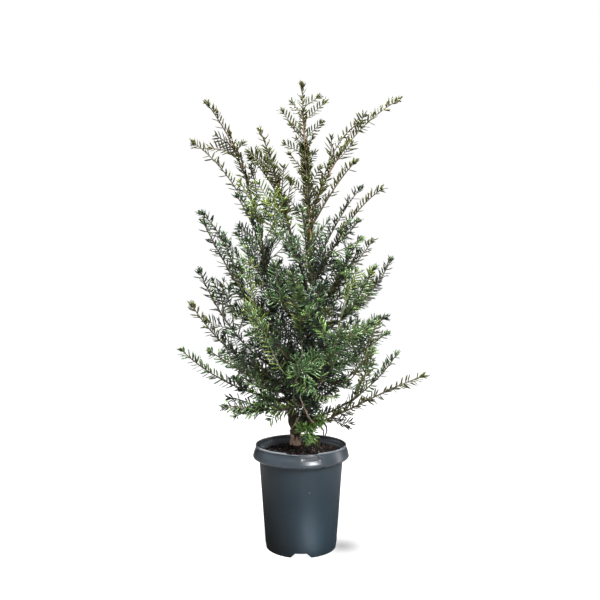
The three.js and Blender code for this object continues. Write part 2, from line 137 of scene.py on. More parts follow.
# %% The value class
class Value:
    """A number or colour that changes over a surface: one output socket of a material's node tree."""

    def __init__(self, tree, socket=None):
        """Keeps the tree that nodes are added to, and the socket that the value comes from."""
        self.tree = tree
        self.socket = socket

    def node(self, kind, settings=(), inputs=(), output=0):
        """Adds one node: its settings first, then a value or a link for each named or numbered input."""
        made = self.tree.nodes.new("ShaderNode" + kind)
        for name, value in dict(settings).items():
            if name == "stops":
                while len(made.color_ramp.elements) < len(value):
                    made.color_ramp.elements.new(1)
                for element, (place, colour) in zip(made.color_ramp.elements, value):
                    element.position = place
                    element.color = (*colour, 1)
            else:
                setattr(made, name, value)
        for name, value in dict(inputs).items():
            if isinstance(value, Value):
                self.tree.links.new(value.socket, made.inputs[name])
            else:
                made.inputs[name].default_value = value
        return Value(self.tree, made.outputs[output])

    def math(self, operation, *values):
        """One Math node that does its operation on the values."""
        return self.node("Math", {"operation": operation}, enumerate(values))

    def __add__(self, other):
        """The sum of both."""
        return self.math("ADD", self, other)

    def __mul__(self, other):
        """The product of both."""
        return self.math("MULTIPLY", self, other)

    def __sub__(self, other):
        """This value less the other."""
        return self.math("SUBTRACT", self, other)

    def __rsub__(self, other):
        """The other less this value, as in 1 - mask."""
        return self.math("SUBTRACT", other, self)

    __radd__ = __add__
    __rmul__ = __mul__

    def rising(self, low, high):
        """0 below low and 1 above high, smooth between: Map Range set to Smooth Step."""
        return self.node("MapRange", {"interpolation_type": "SMOOTHSTEP"}, {0: self, 1: low, 2: high})

    def blend(self, first, second):
        """first where this value is 0 and second where it is 1, both colours: a Mix node."""
        first, second = ((*c, 1) if isinstance(c, tuple) else c for c in (first, second))
        return self.node("Mix", {"data_type": "RGBA"}, {0: self, 6: first, 7: second}, 2)

    def ramp(self, stops):
        """A colour for each value: stops are (value, colour), and between two of them the colours blend."""
        return self.node("ValToRGB", {"stops": stops}, {0: self})


class Finish(Value):
    """A material: its Principled shader, and Object coordinates in metres to draw patterns with."""

    def __init__(self, name, **constants):
        """A new material whose shader has these constants on its own sockets."""
        self.material = bpy.data.materials.new(name)
        self.material.use_nodes = True
        super().__init__(self.material.node_tree)
        self.shader = self.tree.nodes["Principled BSDF"]
        for socket, value in constants.items():
            value = (*value, 1) if isinstance(value, tuple) else value
            self.shader.inputs[socket.replace("_", " ")].default_value = value

    def place(self, scale=(1, 1, 1)):
        """Object coordinates, stretched by scale along each axis."""
        spot = self.node("TexCoord", output="Object")
        return self.node("Mapping", {}, {"Vector": spot, "Scale": scale})

    def distance_to(self, point):
        """How far each place of the surface is from a point, in metres."""
        return self.node("VectorMath", {"operation": "DISTANCE"}, {0: self.place(), 1: point}, "Value")

    def noise(self, scale, detail=3.0, stretch=(1, 1, 1)):
        """Cloudy noise from 0 to 1, with about `scale` clouds to the metre."""
        inputs = {"Vector": self.place(stretch), "Scale": scale, "Detail": detail}
        return self.node("TexNoise", {}, inputs)

    def feed(self, socket, value):
        """Links a value to one socket of the shader."""
        self.tree.links.new(value.socket, self.shader.inputs[socket])
        return self

    def bump(self, height, distance, strength=1.0):
        """Raises the surface by height times distance, in metres, for the light alone."""
        normal = self.node("Bump", {}, {"Height": height, "Distance": distance, "Strength": strength})
        return self.feed("Normal", normal)


trial = Finish("trial")
trial_value = 1 - trial.noise(10) * 0.5
print("1 - noise * 0.5 is", len(trial_value.tree.nodes) - 2, "nodes more than a new material has")
bpy.data.materials.remove(trial.material)


# %% [markdown]
# ## From arrays to meshes
#
# Blender's own operators could add and edit shapes one at a time. Here every piece ends as one array of
# points and one of triangles, so that a formula says the whole shape at once, which is also much quicker.
# One function turns the arrays into a mesh, lets it ride on the plant's only body, and hides the imported
# solids that it stands for.

# %% Meshes from arrays
def piece(name, points, triangles, finishes, slot, replaces=(), tones=None, smooth=True):
    """One mesh from points in millimetres. tones gives each triangle the number of its finish."""
    mesh = bpy.data.meshes.new(name)
    points, triangles = np.asarray(points, np.float32) * METRE, np.asarray(triangles, np.int32)
    mesh.vertices.add(len(points))
    mesh.vertices.foreach_set("co", points.ravel())
    mesh.loops.add(triangles.size)
    mesh.loops.foreach_set("vertex_index", triangles.ravel())
    mesh.polygons.add(len(triangles))
    mesh.polygons.foreach_set("loop_start", np.arange(0, triangles.size, 3, dtype=np.int32))
    for finish in finishes:
        mesh.materials.append(finish.material)
    if tones is not None:
        mesh.polygons.foreach_set("material_index", np.asarray(tones, np.int32))
    mesh.update(calc_edges=True)
    if smooth:
        mesh.shade_smooth()
    made = stand(name, mesh)
    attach(made, "root")
    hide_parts(*replaces)
    print(f"{name}: {len(triangles)} triangles")


def grid(rows, columns, wraps=True):
    """Triangles between the points of a grid: two for each cell, and the last column joins the first."""
    i, j = np.mgrid[0 : rows - 1, 0 : columns if wraps else columns - 1]
    corner, right = i * columns + j, i * columns + (j + 1) % columns
    first = np.stack([corner, right, right + columns], -1)
    second = np.stack([corner, right + columns, corner + columns], -1)
    return np.concatenate([first.reshape(-1, 3), second.reshape(-1, 3)])


def fan(ring, hub):
    """Triangles that close a ring of point numbers at one hub."""
    ring = np.asarray(ring)
    return np.stack([ring, np.roll(ring, -1), np.full(len(ring), hub)], -1)


def joined(parts):
    """Several (points, triangles) pairs as one, each set of triangles renumbered past the points before."""
    starts = np.cumsum([0] + [len(points) for points, _ in parts[:-1]])
    points = np.concatenate([points for points, _ in parts])
    triangles = np.concatenate([triangles + start for (_, triangles), start in zip(parts, starts)])
    return points, triangles


# %% Noise on a grid
NOISE_ROWS = 251


def smooth_noise(u, v, period, seed):
    """Random heights from 0 to 1 at whole numbers u and v, blended by 3t^2 - 2t^3 between; v wraps round."""
    table = np.random.default_rng(seed).random((NOISE_ROWS, period))
    i, j = np.floor(u).astype(int), np.floor(v).astype(int)
    f, g = u - i, v - j
    f, g = f * f * (3 - 2 * f), g * g * (3 - 2 * g)
    i, i2, j, j2 = i % NOISE_ROWS, (i + 1) % NOISE_ROWS, j % period, (j + 1) % period
    near = table[i, j] * (1 - f) + table[i2, j] * f
    far = table[i, j2] * (1 - f) + table[i2, j2] * f
    return near * (1 - g) + far * g


tried = smooth_noise(np.linspace(0, 40, 400), np.zeros(400), 4, 1)
print("noise: from", round(tried.min(), 2), "to", round(tried.max(), 2))


# %% [markdown]
# ## The floor
#
# The floor is a very large white sheet. Without one the pot would have no shadow and seem to hover, and a
# plain one would look grey and end in a line. So to the camera alone it glows until it is as white as the
# surroundings, and less beside the pot, where its soft shadow falls: that dimmer disc of glow is painted
# shadow, added to the shadow that the pot casts.

# %% Floor
FLOOR_REACH = 60000
GLOW_NEAR, GLOW_FAR = 0.25, 1.0  # beside the pot, where its shadow falls, and everywhere else
SHADE, SHADE_EDGES = (0.102, -0.012, 0), (-0.02, 0.085)  # the shadow's middle and its soft edge, in metres
corners = FLOOR_REACH * np.array([[-1, -1, 0], [1, -1, 0], [1, 1, 0], [-1, 1, 0]])
floor_mesh = bpy.data.meshes.new("floor")
floor_mesh.from_pydata((corners * METRE).tolist(), [], [(0, 1, 2, 3)])
floor_white = Finish("floor_white", Base_Color=(0.22, 0.22, 0.22), Roughness=0.9, Emission_Strength=1.0)
# Painted shadow: a dimmer disc of glow beside the pot.
glow = GLOW_NEAR + floor_white.distance_to(SHADE).rising(*SHADE_EDGES) * (GLOW_FAR - GLOW_NEAR)
floor_white.feed("Emission Color", floor_white.node("LightPath", output="Is Camera Ray") * glow)
floor_mesh.materials.append(floor_white.material)
stand("floor", floor_mesh)
print("floor:", round(2 * FLOOR_REACH * METRE), "m wide")

# %% [markdown]
# ## The pot
#
# A nursery pot is moulded from thin polypropylene: a tapered bucket whose rim is folded outward and down
# into a skirt. Pots like this are stacked, gripped and dropped, so the rim has a lowered stretch of lip, a
# thumb-wide dent under it and a pinch. It could be turned with a Screw modifier and dented by sculpting,
# but then no number would say where a dent is. Here the profile is a list of corners, each rounded by its
# own radius, carried round the axis as a grid, and the dents are pushes and pulls added to its radius.

# %% The pot's profile
POT_HEIGHT, FOOT_RADIUS, TOP_RADIUS, WALL = 255.0, 89.0, 108.0, 2.2
LIP_RADIUS, SKIRT_RADIUS = 113.5, 121.5
LIP_UNDERSIDE, SKIRT_FOOT, FLOOR_HEIGHT = 250.0, 217.0, 12.0
FINE, COARSE, SHORT = 1.2, 5.0, 16  # how far apart a path's points stand, on short stretches and on others


def wall_radius(z):
    """The outside of the straight wall: it widens evenly from foot to lip."""
    return FOOT_RADIUS + (TOP_RADIUS - FOOT_RADIUS) * z / POT_HEIGHT


def stretch(start, end):
    """Evenly spaced points from start to end: close together on short stretches, as round the rim."""
    length = np.linalg.norm(end - start)
    count = max(1, int(np.ceil(length / (FINE if length < SHORT else COARSE))))
    return start + (end - start) * np.linspace(0, 1, count + 1)[:, None]


def rounded(corners, arc_points=6, most=0.48, closest=0.02):
    """A path through corners (r, z, radius): straight stretches, and an arc at each corner.

    An arc starts and ends at radius * tan(half the turn) from the corner, at `most` of the way to the next,
    and bulges as a quadratic curve. Points that are closer together than `closest` become one."""
    spots = np.array([c[:2] for c in corners], float)
    path = [spots[:1]]
    for before, spot, after, radius in zip(spots, spots[1:], spots[2:], [c[2] for c in corners[1:]]):
        back, ahead = before - spot, after - spot
        back_long, ahead_long = np.linalg.norm(back), np.linalg.norm(ahead)
        back, ahead = back / back_long, ahead / ahead_long
        half_turn = (np.pi - np.arccos(np.clip(back @ ahead, -1, 1))) / 2
        cut = min(radius * np.tan(half_turn), most * back_long, most * ahead_long)
        u = np.linspace(0, 1, arc_points)[:, None]
        arc = (1 - u) ** 2 * (spot + back * cut) + 2 * u * (1 - u) * spot + u**2 * (spot + ahead * cut)
        path += [stretch(path[-1][-1], arc[0])[1:], arc[1:]]
    path.append(stretch(path[-1][-1], spots[-1])[1:])
    path = np.concatenate(path)
    return path[np.append(True, np.linalg.norm(np.diff(path, axis=0), axis=1) > closest)]


under_floor = wall_radius(0) - WALL - 7
skirt_inside = wall_radius(SKIRT_FOOT)
pot_corners = [  # (from the axis, height, radius of the rounding)
    (0, FLOOR_HEIGHT, 0),  # the middle of the underside, which is raised inside the foot
    (under_floor, FLOOR_HEIGHT, 3),
    (wall_radius(0) - WALL - 1.5, 0.0, 1),
    (wall_radius(0), 0.0, 1.6),  # the foot's outer edge
    (wall_radius(LIP_UNDERSIDE), LIP_UNDERSIDE, 2),  # up the wall, to where the rim folds outward
    (LIP_RADIUS - WALL, LIP_UNDERSIDE, 2),
    (SKIRT_RADIUS - WALL - 1.0, 227, 5),  # down the skirt's inside
    (skirt_inside + 1.4, SKIRT_FOOT + 3, 1),
    (skirt_inside + 0.5, SKIRT_FOOT + 0.5, 0.6),
    (skirt_inside + 4.0, SKIRT_FOOT - 0.2, 3),  # and up its outside
    (SKIRT_RADIUS + 0.3, 224.5, 5),
    (SKIRT_RADIUS - 2.6, 236, 24),
    (LIP_RADIUS - 0.2, 249.6, 8),
    (LIP_RADIUS + 1.2, 250.6, 1.0),  # the lip: a small bead
    (LIP_RADIUS + 1.0, POT_HEIGHT, 2.6),
    (LIP_RADIUS - 2.8, POT_HEIGHT, 1.4),
    (LIP_RADIUS - 3.4, 249.4, 1.2),
    (TOP_RADIUS - WALL - 0.4, 247.4, 1.6),  # a ledge inside, and down the inner wall
    (TOP_RADIUS - WALL - 1.0, 241, 2),
    (TOP_RADIUS - WALL - 2.6, 239.6, 1),
    (wall_radius(FLOOR_HEIGHT) - WALL - 1, FLOOR_HEIGHT + WALL, 4),
    (0, FLOOR_HEIGHT + WALL, 0),  # the middle of the floor
]
pot_path = rounded(pot_corners)
print("pot profile:", len(pot_path), "points")

# %% Dents in the rim
POT_COLUMNS = 288
SIGHT_WIDTH = 115  # half the rim's width, which turns an angle into millimetres to the right
CREASE_LEAN, CREASE_LEVEL = 0.75, 246  # the pinch leans to the left as it rises
LOWERED = 3.0


def hump(x, low, high, soft):
    """1 between low and high, falling smoothly to 0 over the width soft at either side."""
    rise = np.clip((x - low) / soft + 0.5, 0, 1)
    fall = np.clip((high - x) / soft + 0.5, 0, 1)
    edge = np.minimum(rise, fall)
    return edge * edge * (3 - 2 * edge)


turn = np.arange(POT_COLUMNS) / POT_COLUMNS * 2 * np.pi - np.pi / 2  # the first column is at the front
radius, height = pot_path[1:-1, :1] + 0 * turn, pot_path[1:-1, 1:] + 0 * turn
across = SIGHT_WIDTH * np.sin(turn + np.pi / 2) + 0 * radius
front = -np.sin(turn) + 0 * radius > 0
crease = across + CREASE_LEAN * (height - CREASE_LEVEL)
rows = np.arange(len(radius))[:, None]
skirt_row = np.argmax((pot_path[1:-1, 0] > SKIRT_RADIUS - 1) & (pot_path[1:-1, 1] < 227))
outside = (rows > skirt_row - 8) & (height > 215)
outer_face = outside & (radius > LIP_RADIUS - 1)

lowered = hump(across, -37, 43, 2.5) * hump(height, 251, 270, 8) * outside
rim_marks = [  # (millimetres outward, where)
    (-3.4, hump(across, 6, 38, 15) * hump(height, 239, 245, 4) * outer_face),  # a thumb's dent
    (1.8, hump(across, -2, 52, 18) * hump(height, 218, 232.5, 9) * outer_face),  # the bulge under it
    (1.8, hump(crease, 43, 47, 4) * hump(height, 240, 256, 6) * outside),  # the pinch's ridge
    (-2.0, hump(crease, 34, 40, 4) * hump(height, 240, 252, 5) * outer_face),  # the hollow beside it
    (-1.0, hump(across, -34, -12, 18) * hump(height, 240, 250, 8) * outer_face),  # a scuffed flat
    (-1.0, lowered),  # the lip's lowered stretch
]
wobble = (smooth_noise(height / 11, turn * 16 / (2 * np.pi) + 9, 16, 3) - 0.5) * 0.8 * outer_face
radius = radius + sum(push * where for push, where in rim_marks) * front + wobble
height = height - LOWERED * lowered * front
print("rim: from", round(radius[outer_face].min(), 1), "to", round(radius[outer_face].max(), 1), "mm")

# %% Drainage notches and the pot's mesh
# A notch lifts the foot's edge: the lower a point of the wall, the more it is pushed up, so that the open
# part is a trapezium.
NOTCH_COUNT, NOTCH_FOOT, NOTCH_TOP, NOTCH_HEIGHT = 4, 51.0, 28.0, 11.0
LIFTED_BELOW, LIFT_SPACING = 30, 0.4  # points below this are lifted, and stay a little apart

shares = turn / (2 * np.pi) * NOTCH_COUNT + NOTCH_COUNT / 4 + 0.5
from_notch = np.abs(shares % 1 - 0.5) * 2 * np.pi / NOTCH_COUNT
slope = (NOTCH_FOOT - NOTCH_TOP) / 2 / NOTCH_HEIGHT
edge = np.clip((NOTCH_FOOT / 2 - from_notch * FOOT_RADIUS) / slope, 0, NOTCH_HEIGHT)
is_foot = (radius > under_floor + 0.1) & (rows < skirt_row) & (height < LIFTED_BELOW)
height = np.where(is_foot, np.maximum(height, edge + height / LIFTED_BELOW * LIFT_SPACING), height)

rings = np.stack([radius * np.cos(turn), radius * np.sin(turn), height], -1)
pot_points = np.concatenate([rings.reshape(-1, 3), [[0, 0, FLOOR_HEIGHT], [0, 0, FLOOR_HEIGHT + WALL]]])
last_ring = (len(radius) - 1) * POT_COLUMNS + np.arange(POT_COLUMNS)
pot_triangles = np.concatenate([
    grid(len(radius), POT_COLUMNS),
    fan(np.arange(POT_COLUMNS), len(pot_points) - 2)[:, ::-1],
    fan(last_ring, len(pot_points) - 1),
])
print("notches:", NOTCH_COUNT, "of", NOTCH_HEIGHT, "mm")

# %% [markdown]
# The plastic is one slate grey, but used: cloudy and faintly streaked, scuffed along the lip, and inside it
# has a film of dried compost water. Light and shade are painted on as well: painted shade low down at the
# left, painted light towards the top of the body and on the rim, which is also shinier, a painted highlight
# along the scuffed lip, and the inside film painted lighter to stand in for light on the inner wall. This
# could be painted on an unwrapped pot. Instead each mark is a mask from 0 to 1, worked out from noise and
# from the height, that blends one more colour in: it stays sharp close to, and a number moves it.

# %% Slate plastic
SLATE_DARK, SLATE, PAINTED_SHADE_GREY, UPPER_PAINTED_LIGHT = (
    (0.012, 0.022, 0.031), (0.020, 0.034, 0.046), (0.0015, 0.0025, 0.0035), (0.034, 0.046, 0.057))
RIM_PAINTED_LIGHT, WORN_AND_HIGHLIGHT, FILM_AND_PAINTED_LIGHT = (0.046, 0.057, 0.070), (0.25, 0.28, 0.31), (0.17, 0.195, 0.22)
SPECK_GREY, CHIP_GREY = (0.09, 0.11, 0.12), (0.36, 0.40, 0.44)
PALE_CHIP = (0.0201, -0.0988, 0.159)  # a nick in the wall, in metres

plastic = Finish("slate_plastic", Specular_IOR_Level=0.25, Coat_Roughness=0.34)
cloud = plastic.noise(9, 4)
streak = plastic.noise(30, 3, (1, 1, 0.12))
speck = plastic.noise(900, 1).rising(0.70, 0.78)
up, rightward = (plastic.node("SeparateXYZ", {}, {0: plastic.place()}, axis) for axis in "ZX")
# Painted shade: the body is darker low down towards the left, and rougher there.
shade_low_left = (1 - (up * 0.6 + rightward + cloud * 0.03).rising(-0.065, 0.075)) * 0.95
rim = up.rising(0.2150, 0.2175)
# The lip's top: wear, and a painted highlight along it.
worn_and_highlight = up.rising(0.2508, 0.2532) * (0.5 + plastic.noise(60, 4) * 0.5)
# The film, painted lighter than dried compost water so that it also stands in for light on the inner wall,
# lies on the inside: where the radius is less than the wall's own at that height.
x_y = plastic.node("VectorMath", {"operation": "MULTIPLY"}, {0: plastic.place(), 1: (1, 1, 0)})
from_axis = plastic.node("VectorMath", {"operation": "LENGTH"}, {0: x_y}, "Value")
wall_here = up * ((TOP_RADIUS - FOOT_RADIUS) / POT_HEIGHT) + FOOT_RADIUS * METRE
film_and_painted_light = (wall_here - from_axis).rising(0.0012, 0.0020) * (0.35 + plastic.noise(25, 5) * 0.9)

tint = (cloud * 0.6 + streak * 0.4).rising(0.3, 0.72).blend(SLATE_DARK, SLATE)
# Painted shade low down at the left.
tint = shade_low_left.blend(tint, PAINTED_SHADE_GREY)
# Painted light: the body is lighter towards its top.
tint = (up.rising(0.12, 0.212) * 0.6).blend(tint, UPPER_PAINTED_LIGHT)
# Painted light: the rim, which faces upward, is paler.
tint = (rim * (0.35 + plastic.noise(45, 5, (1, 1, 2)) * 0.9)).blend(tint, RIM_PAINTED_LIGHT)
# Wear and a painted highlight along the lip.
tint = worn_and_highlight.blend(tint, WORN_AND_HIGHLIGHT)
# The inside's film, painted lighter so that it also stands in for light on the inner wall.
tint = film_and_painted_light.blend(tint, FILM_AND_PAINTED_LIGHT)
tint = (speck * 0.35).blend(tint, SPECK_GREY)
plastic.feed("Base Color", plastic.distance_to(PALE_CHIP).rising(0.0004, 0.0012).blend(CHIP_GREY, tint))
plastic.feed("Roughness", cloud * 0.20 + streak * 0.12 + 0.24 - rim * 0.10 + shade_low_left * 0.55)
plastic.feed("Coat Weight", rim * 0.55)
plastic.bump(plastic.noise(420, 2) * 0.4 + cloud, 0.0005, 0.35)
piece("nursery_pot", pot_points, pot_triangles, [plastic], "pot_plastic", ["pot"])

# %% [markdown]
# ## The compost
#
# Potting compost is a dark bed of peat and composted bark. A Displace modifier could roughen a disc, but
# the crumbs have to lie on the bed, and a height that is a function can be asked for anywhere. So the bed
# is one surface over (distance, turn) with noise at three sizes, closed underneath. The crumbs that catch
# the light are separate small stones of a few faces each: a die with its corners pushed about, copied as
# arrays onto the bed.

# %% The bed
BED_EDGE, BED_TOP, BED_MOUND, BED_UNDERSIDE = 233.0, 242.7, 38.0, 205
BED_LUMPS = [(17, 3.2), (6.3, 2.6), (2.4, 1.8)]  # width and height of the lumps, in millimetres
BED_RINGS, BED_COLUMNS = 70, 220
TRUNK_STANDS = (-17, 5)
HEAP, HEAP_WIDTH = 9, 34  # the compost is heaped up round the trunk


def bed_height(x, y):
    """The heap's height at a place: highest round the trunk, and rough at three sizes of noise."""
    distance = np.hypot(x, y)
    from_trunk = np.hypot(x - TRUNK_STANDS[0], y - TRUNK_STANDS[1])
    heap = np.interp(distance, [0, BED_MOUND, 72.2, 104], [BED_TOP - 0.5, BED_TOP - 1, 238.5, BED_EDGE])
    heap = heap + HEAP * np.exp(-((from_trunk / HEAP_WIDTH) ** 2))
    rough = sum(
        size * (smooth_noise(x / width + 500, y / width + 500, 997, seed) - 0.5)
        for seed, (width, size) in enumerate(BED_LUMPS)
    )
    return heap + rough


bed_turn = np.arange(BED_COLUMNS) / BED_COLUMNS * 2 * np.pi
bed_radius = np.linspace(1.5, wall_radius(BED_EDGE) - WALL + 0.6, BED_RINGS)[:, None]
bed_x, bed_y = bed_radius * np.cos(bed_turn), bed_radius * np.sin(bed_turn)
bed_top = np.stack([bed_x, bed_y, bed_height(bed_x, bed_y)], -1)
bed_foot = bed_top[-1:] * [0.94, 0.94, 0] + [0, 0, BED_UNDERSIDE]
bed_points = np.concatenate([
    np.concatenate([bed_top, bed_foot]).reshape(-1, 3),
    [[0, 0, bed_height(np.zeros(1), np.zeros(1))[0]], [0, 0, BED_UNDERSIDE]],
])
bed_last = BED_RINGS * BED_COLUMNS + np.arange(BED_COLUMNS)
bed_triangles = np.concatenate([
    grid(BED_RINGS + 1, BED_COLUMNS)[:, ::-1],
    fan(np.arange(BED_COLUMNS), len(bed_points) - 2),
    fan(bed_last, len(bed_points) - 1)[:, ::-1],
])
compost = Finish("compost", Roughness=0.9)
crumble = compost.noise(260, 6)
peat = [(0.36, (0.002, 0.0015, 0.0015)), (0.56, (0.006, 0.004, 0.003)), (0.72, (0.030, 0.016, 0.011))]
compost.feed("Base Color", crumble.ramp(peat))
compost.bump(compost.noise(700, 4) + crumble, 0.0015)
piece("compost_bed", bed_points, bed_triangles, [compost], "compost", ["soil"])

# %% Crumbs and bark chips
CRUMBS, CRUMB_REACH, LARGEST_CRUMB = 2600, 99, 2.8
CRUMB_TONES = [(0.003, 0.002, 0.002), (0.014, 0.008, 0.006), (0.11, 0.045, 0.024), (0.20, 0.16, 0.12)]
CRUMB_SHARES = [0.50, 0.30, 0.16, 0.04]
draw = np.random.default_rng(11)


def die():
    """A cube whose eight corners are its points, cut into twelve triangles."""
    corners = np.array([[x, y, z] for x in (-1, 1) for y in (-1, 1) for z in (-1, 1)], float)
    sides = [(0, 1, 3, 2), (4, 6, 7, 5), (0, 4, 5, 1), (2, 3, 7, 6), (0, 2, 6, 4), (1, 5, 7, 3)]
    return corners, np.array([t for a, b, c, d in sides for t in ((a, b, c), (a, c, d))])


corners, sides = die()
spread = np.sqrt(draw.random(CRUMBS)) * CRUMB_REACH
around = draw.random(CRUMBS) * 2 * np.pi
centre = np.stack([spread * np.cos(around), spread * np.sin(around)], -1)
centre = np.column_stack([centre, bed_height(*centre.T) + 0.3])
size = draw.gamma(2.0, 0.45, (CRUMBS, 1, 1)) + 0.5
squash = draw.uniform(0.45, 1.25, (CRUMBS, 1, 3)) * [1.25, 0.9, 0.7]
spin = np.linalg.qr(draw.normal(size=(CRUMBS, 3, 3)))[0]
spin *= np.linalg.det(spin)[:, None, None]  # a turn, never a mirror
shapes = (corners + draw.uniform(-0.45, 0.45, (CRUMBS, 8, 3))) * squash * np.minimum(size, LARGEST_CRUMB)
crumb_points = centre[:, None] + np.einsum("nij,nkj->nki", spin, shapes) * 0.8
crumb_triangles = sides + len(corners) * np.arange(CRUMBS)[:, None, None]
crumb_finishes = [
    Finish(f"crumb_{i}", Base_Color=tone, Roughness=0.85) for i, tone in enumerate(CRUMB_TONES)]
crumb_tones = np.repeat(draw.choice(len(CRUMB_TONES), CRUMBS, p=CRUMB_SHARES), len(sides))
piece("compost_crumbs", crumb_points.reshape(-1, 3), crumb_triangles.reshape(-1, 3), crumb_finishes,
      "compost", tones=crumb_tones, smooth=False)

# %% [markdown]
# ## Lines
#
# Every limb, shoot and twig follows a line. Curve objects could hold the lines, but each shoot has to ask
# the one that it grows from for points and directions, so here a line is an array: one or more Bezier
# pieces, each of four points. The trunk's line passes through chosen points as a centripetal Catmull-Rom
# curve, which is rewritten as Bezier pieces.

# %% Points and directions on a line
UP = np.array([0.0, 0.0, 1.0])


def units(vectors):
    """Each vector divided by its own length."""
    return vectors / np.linalg.norm(vectors, axis=-1, keepdims=True)


def on_line(line, t):
    """Points at shares t of a line of Bezier pieces, and the unit directions there."""
    t = np.atleast_1d(t) * len(line)
    index = np.clip(t.astype(int), 0, len(line) - 1)
    u = (t - index)[:, None]
    a, b, c, d = np.moveaxis(line[index], 1, 0)
    v = 1 - u
    points = v**3 * a + 3 * v**2 * u * b + 3 * v * u**2 * c + u**3 * d
    return points, units(v**2 * (b - a) + 2 * u * v * (c - b) + u**2 * (d - c))


def spot_on(line, t):
    """The single point at share t of a line, and the unit direction there."""
    points, directions = on_line(line, t)
    return points[0], directions[0]


def length_of(line):
    """The sum of 128 short steps along a line."""
    return np.linalg.norm(np.diff(on_line(line, np.linspace(0, 1, 129))[0], axis=0), axis=1).sum()


def at_height(line, z):
    """The point of a rising line at the height z."""
    t = np.linspace(0, 1, 2001)
    return spot_on(line, np.interp(z, on_line(line, t)[0][:, 2], t))[0]


# %% Lines from points and from angles
def through(points):
    """The centripetal Catmull-Rom curve through points: knots as far apart as the root of their distance."""
    points = np.array([2 * points[0] - points[1], *points, 2 * points[-1] - points[-2]])
    gap = np.linalg.norm(np.diff(points, axis=0), axis=1)[:, None] ** 0.5
    p0, p1, p2, p3 = points[:-3], points[1:-2], points[2:-1], points[3:]
    g0, g1, g2 = gap[:-2], gap[1:-1], gap[2:]
    leave = ((p1 - p0) / g0 - (p2 - p0) / (g0 + g1) + (p2 - p1) / g1) * g1
    arrive = ((p2 - p1) / g1 - (p3 - p1) / (g1 + g2) + (p3 - p2) / g2) * g1
    return np.stack([p1, p1 + leave / 3, p2 - arrive / 3, p2], 1)


def heading(compass, slope):
    """A unit vector at a compass angle and a slope, both in degrees."""
    a, s = np.radians([compass, slope])
    return np.array([np.cos(a) * np.cos(s), np.sin(a) * np.cos(s), np.sin(s)])


def limb_line(start, tip, leave, arrive):
    """One Bezier piece from start to tip, its slopes given in degrees at both ends."""
    span = tip - start
    compass = np.degrees(np.arctan2(span[1], span[0]))
    third = np.linalg.norm(span) / 3
    after, before = third * heading(compass, leave), third * heading(compass, arrive)
    return np.array([[start, start + after, tip - before, tip]])


def bent(start, elbow, tip):
    """The quadratic curve from start to tip that heads for the elbow first, as one cubic Bezier piece."""
    return np.array([[start, start + (elbow - start) * 2 / 3, tip + (elbow - tip) * 2 / 3, tip]])


TRUNK_POINTS = [
    (*TRUNK_STANDS, 235), (-8, 6, 290), (15, 6, 338), (25, 4, 410), (30, 2, 540), (27, 0, 720), (16, 0, 905)]
trunk_line = through(np.array(TRUNK_POINTS, float))
TRUNK_LENGTH = length_of(trunk_line)
print("trunk line:", round(TRUNK_LENGTH), "mm")

# %% [markdown]
# ## The plan of the boughs
#
# This is the plant's plan, the same one that its solids were made from. Each row says where a bough leaves
# the trunk or the second stem, which way its tip lies, how far out and how high that tip is, its slope at
# the root and at the tip, and the share of its length that bears no needles. Forks are more leading shoots.

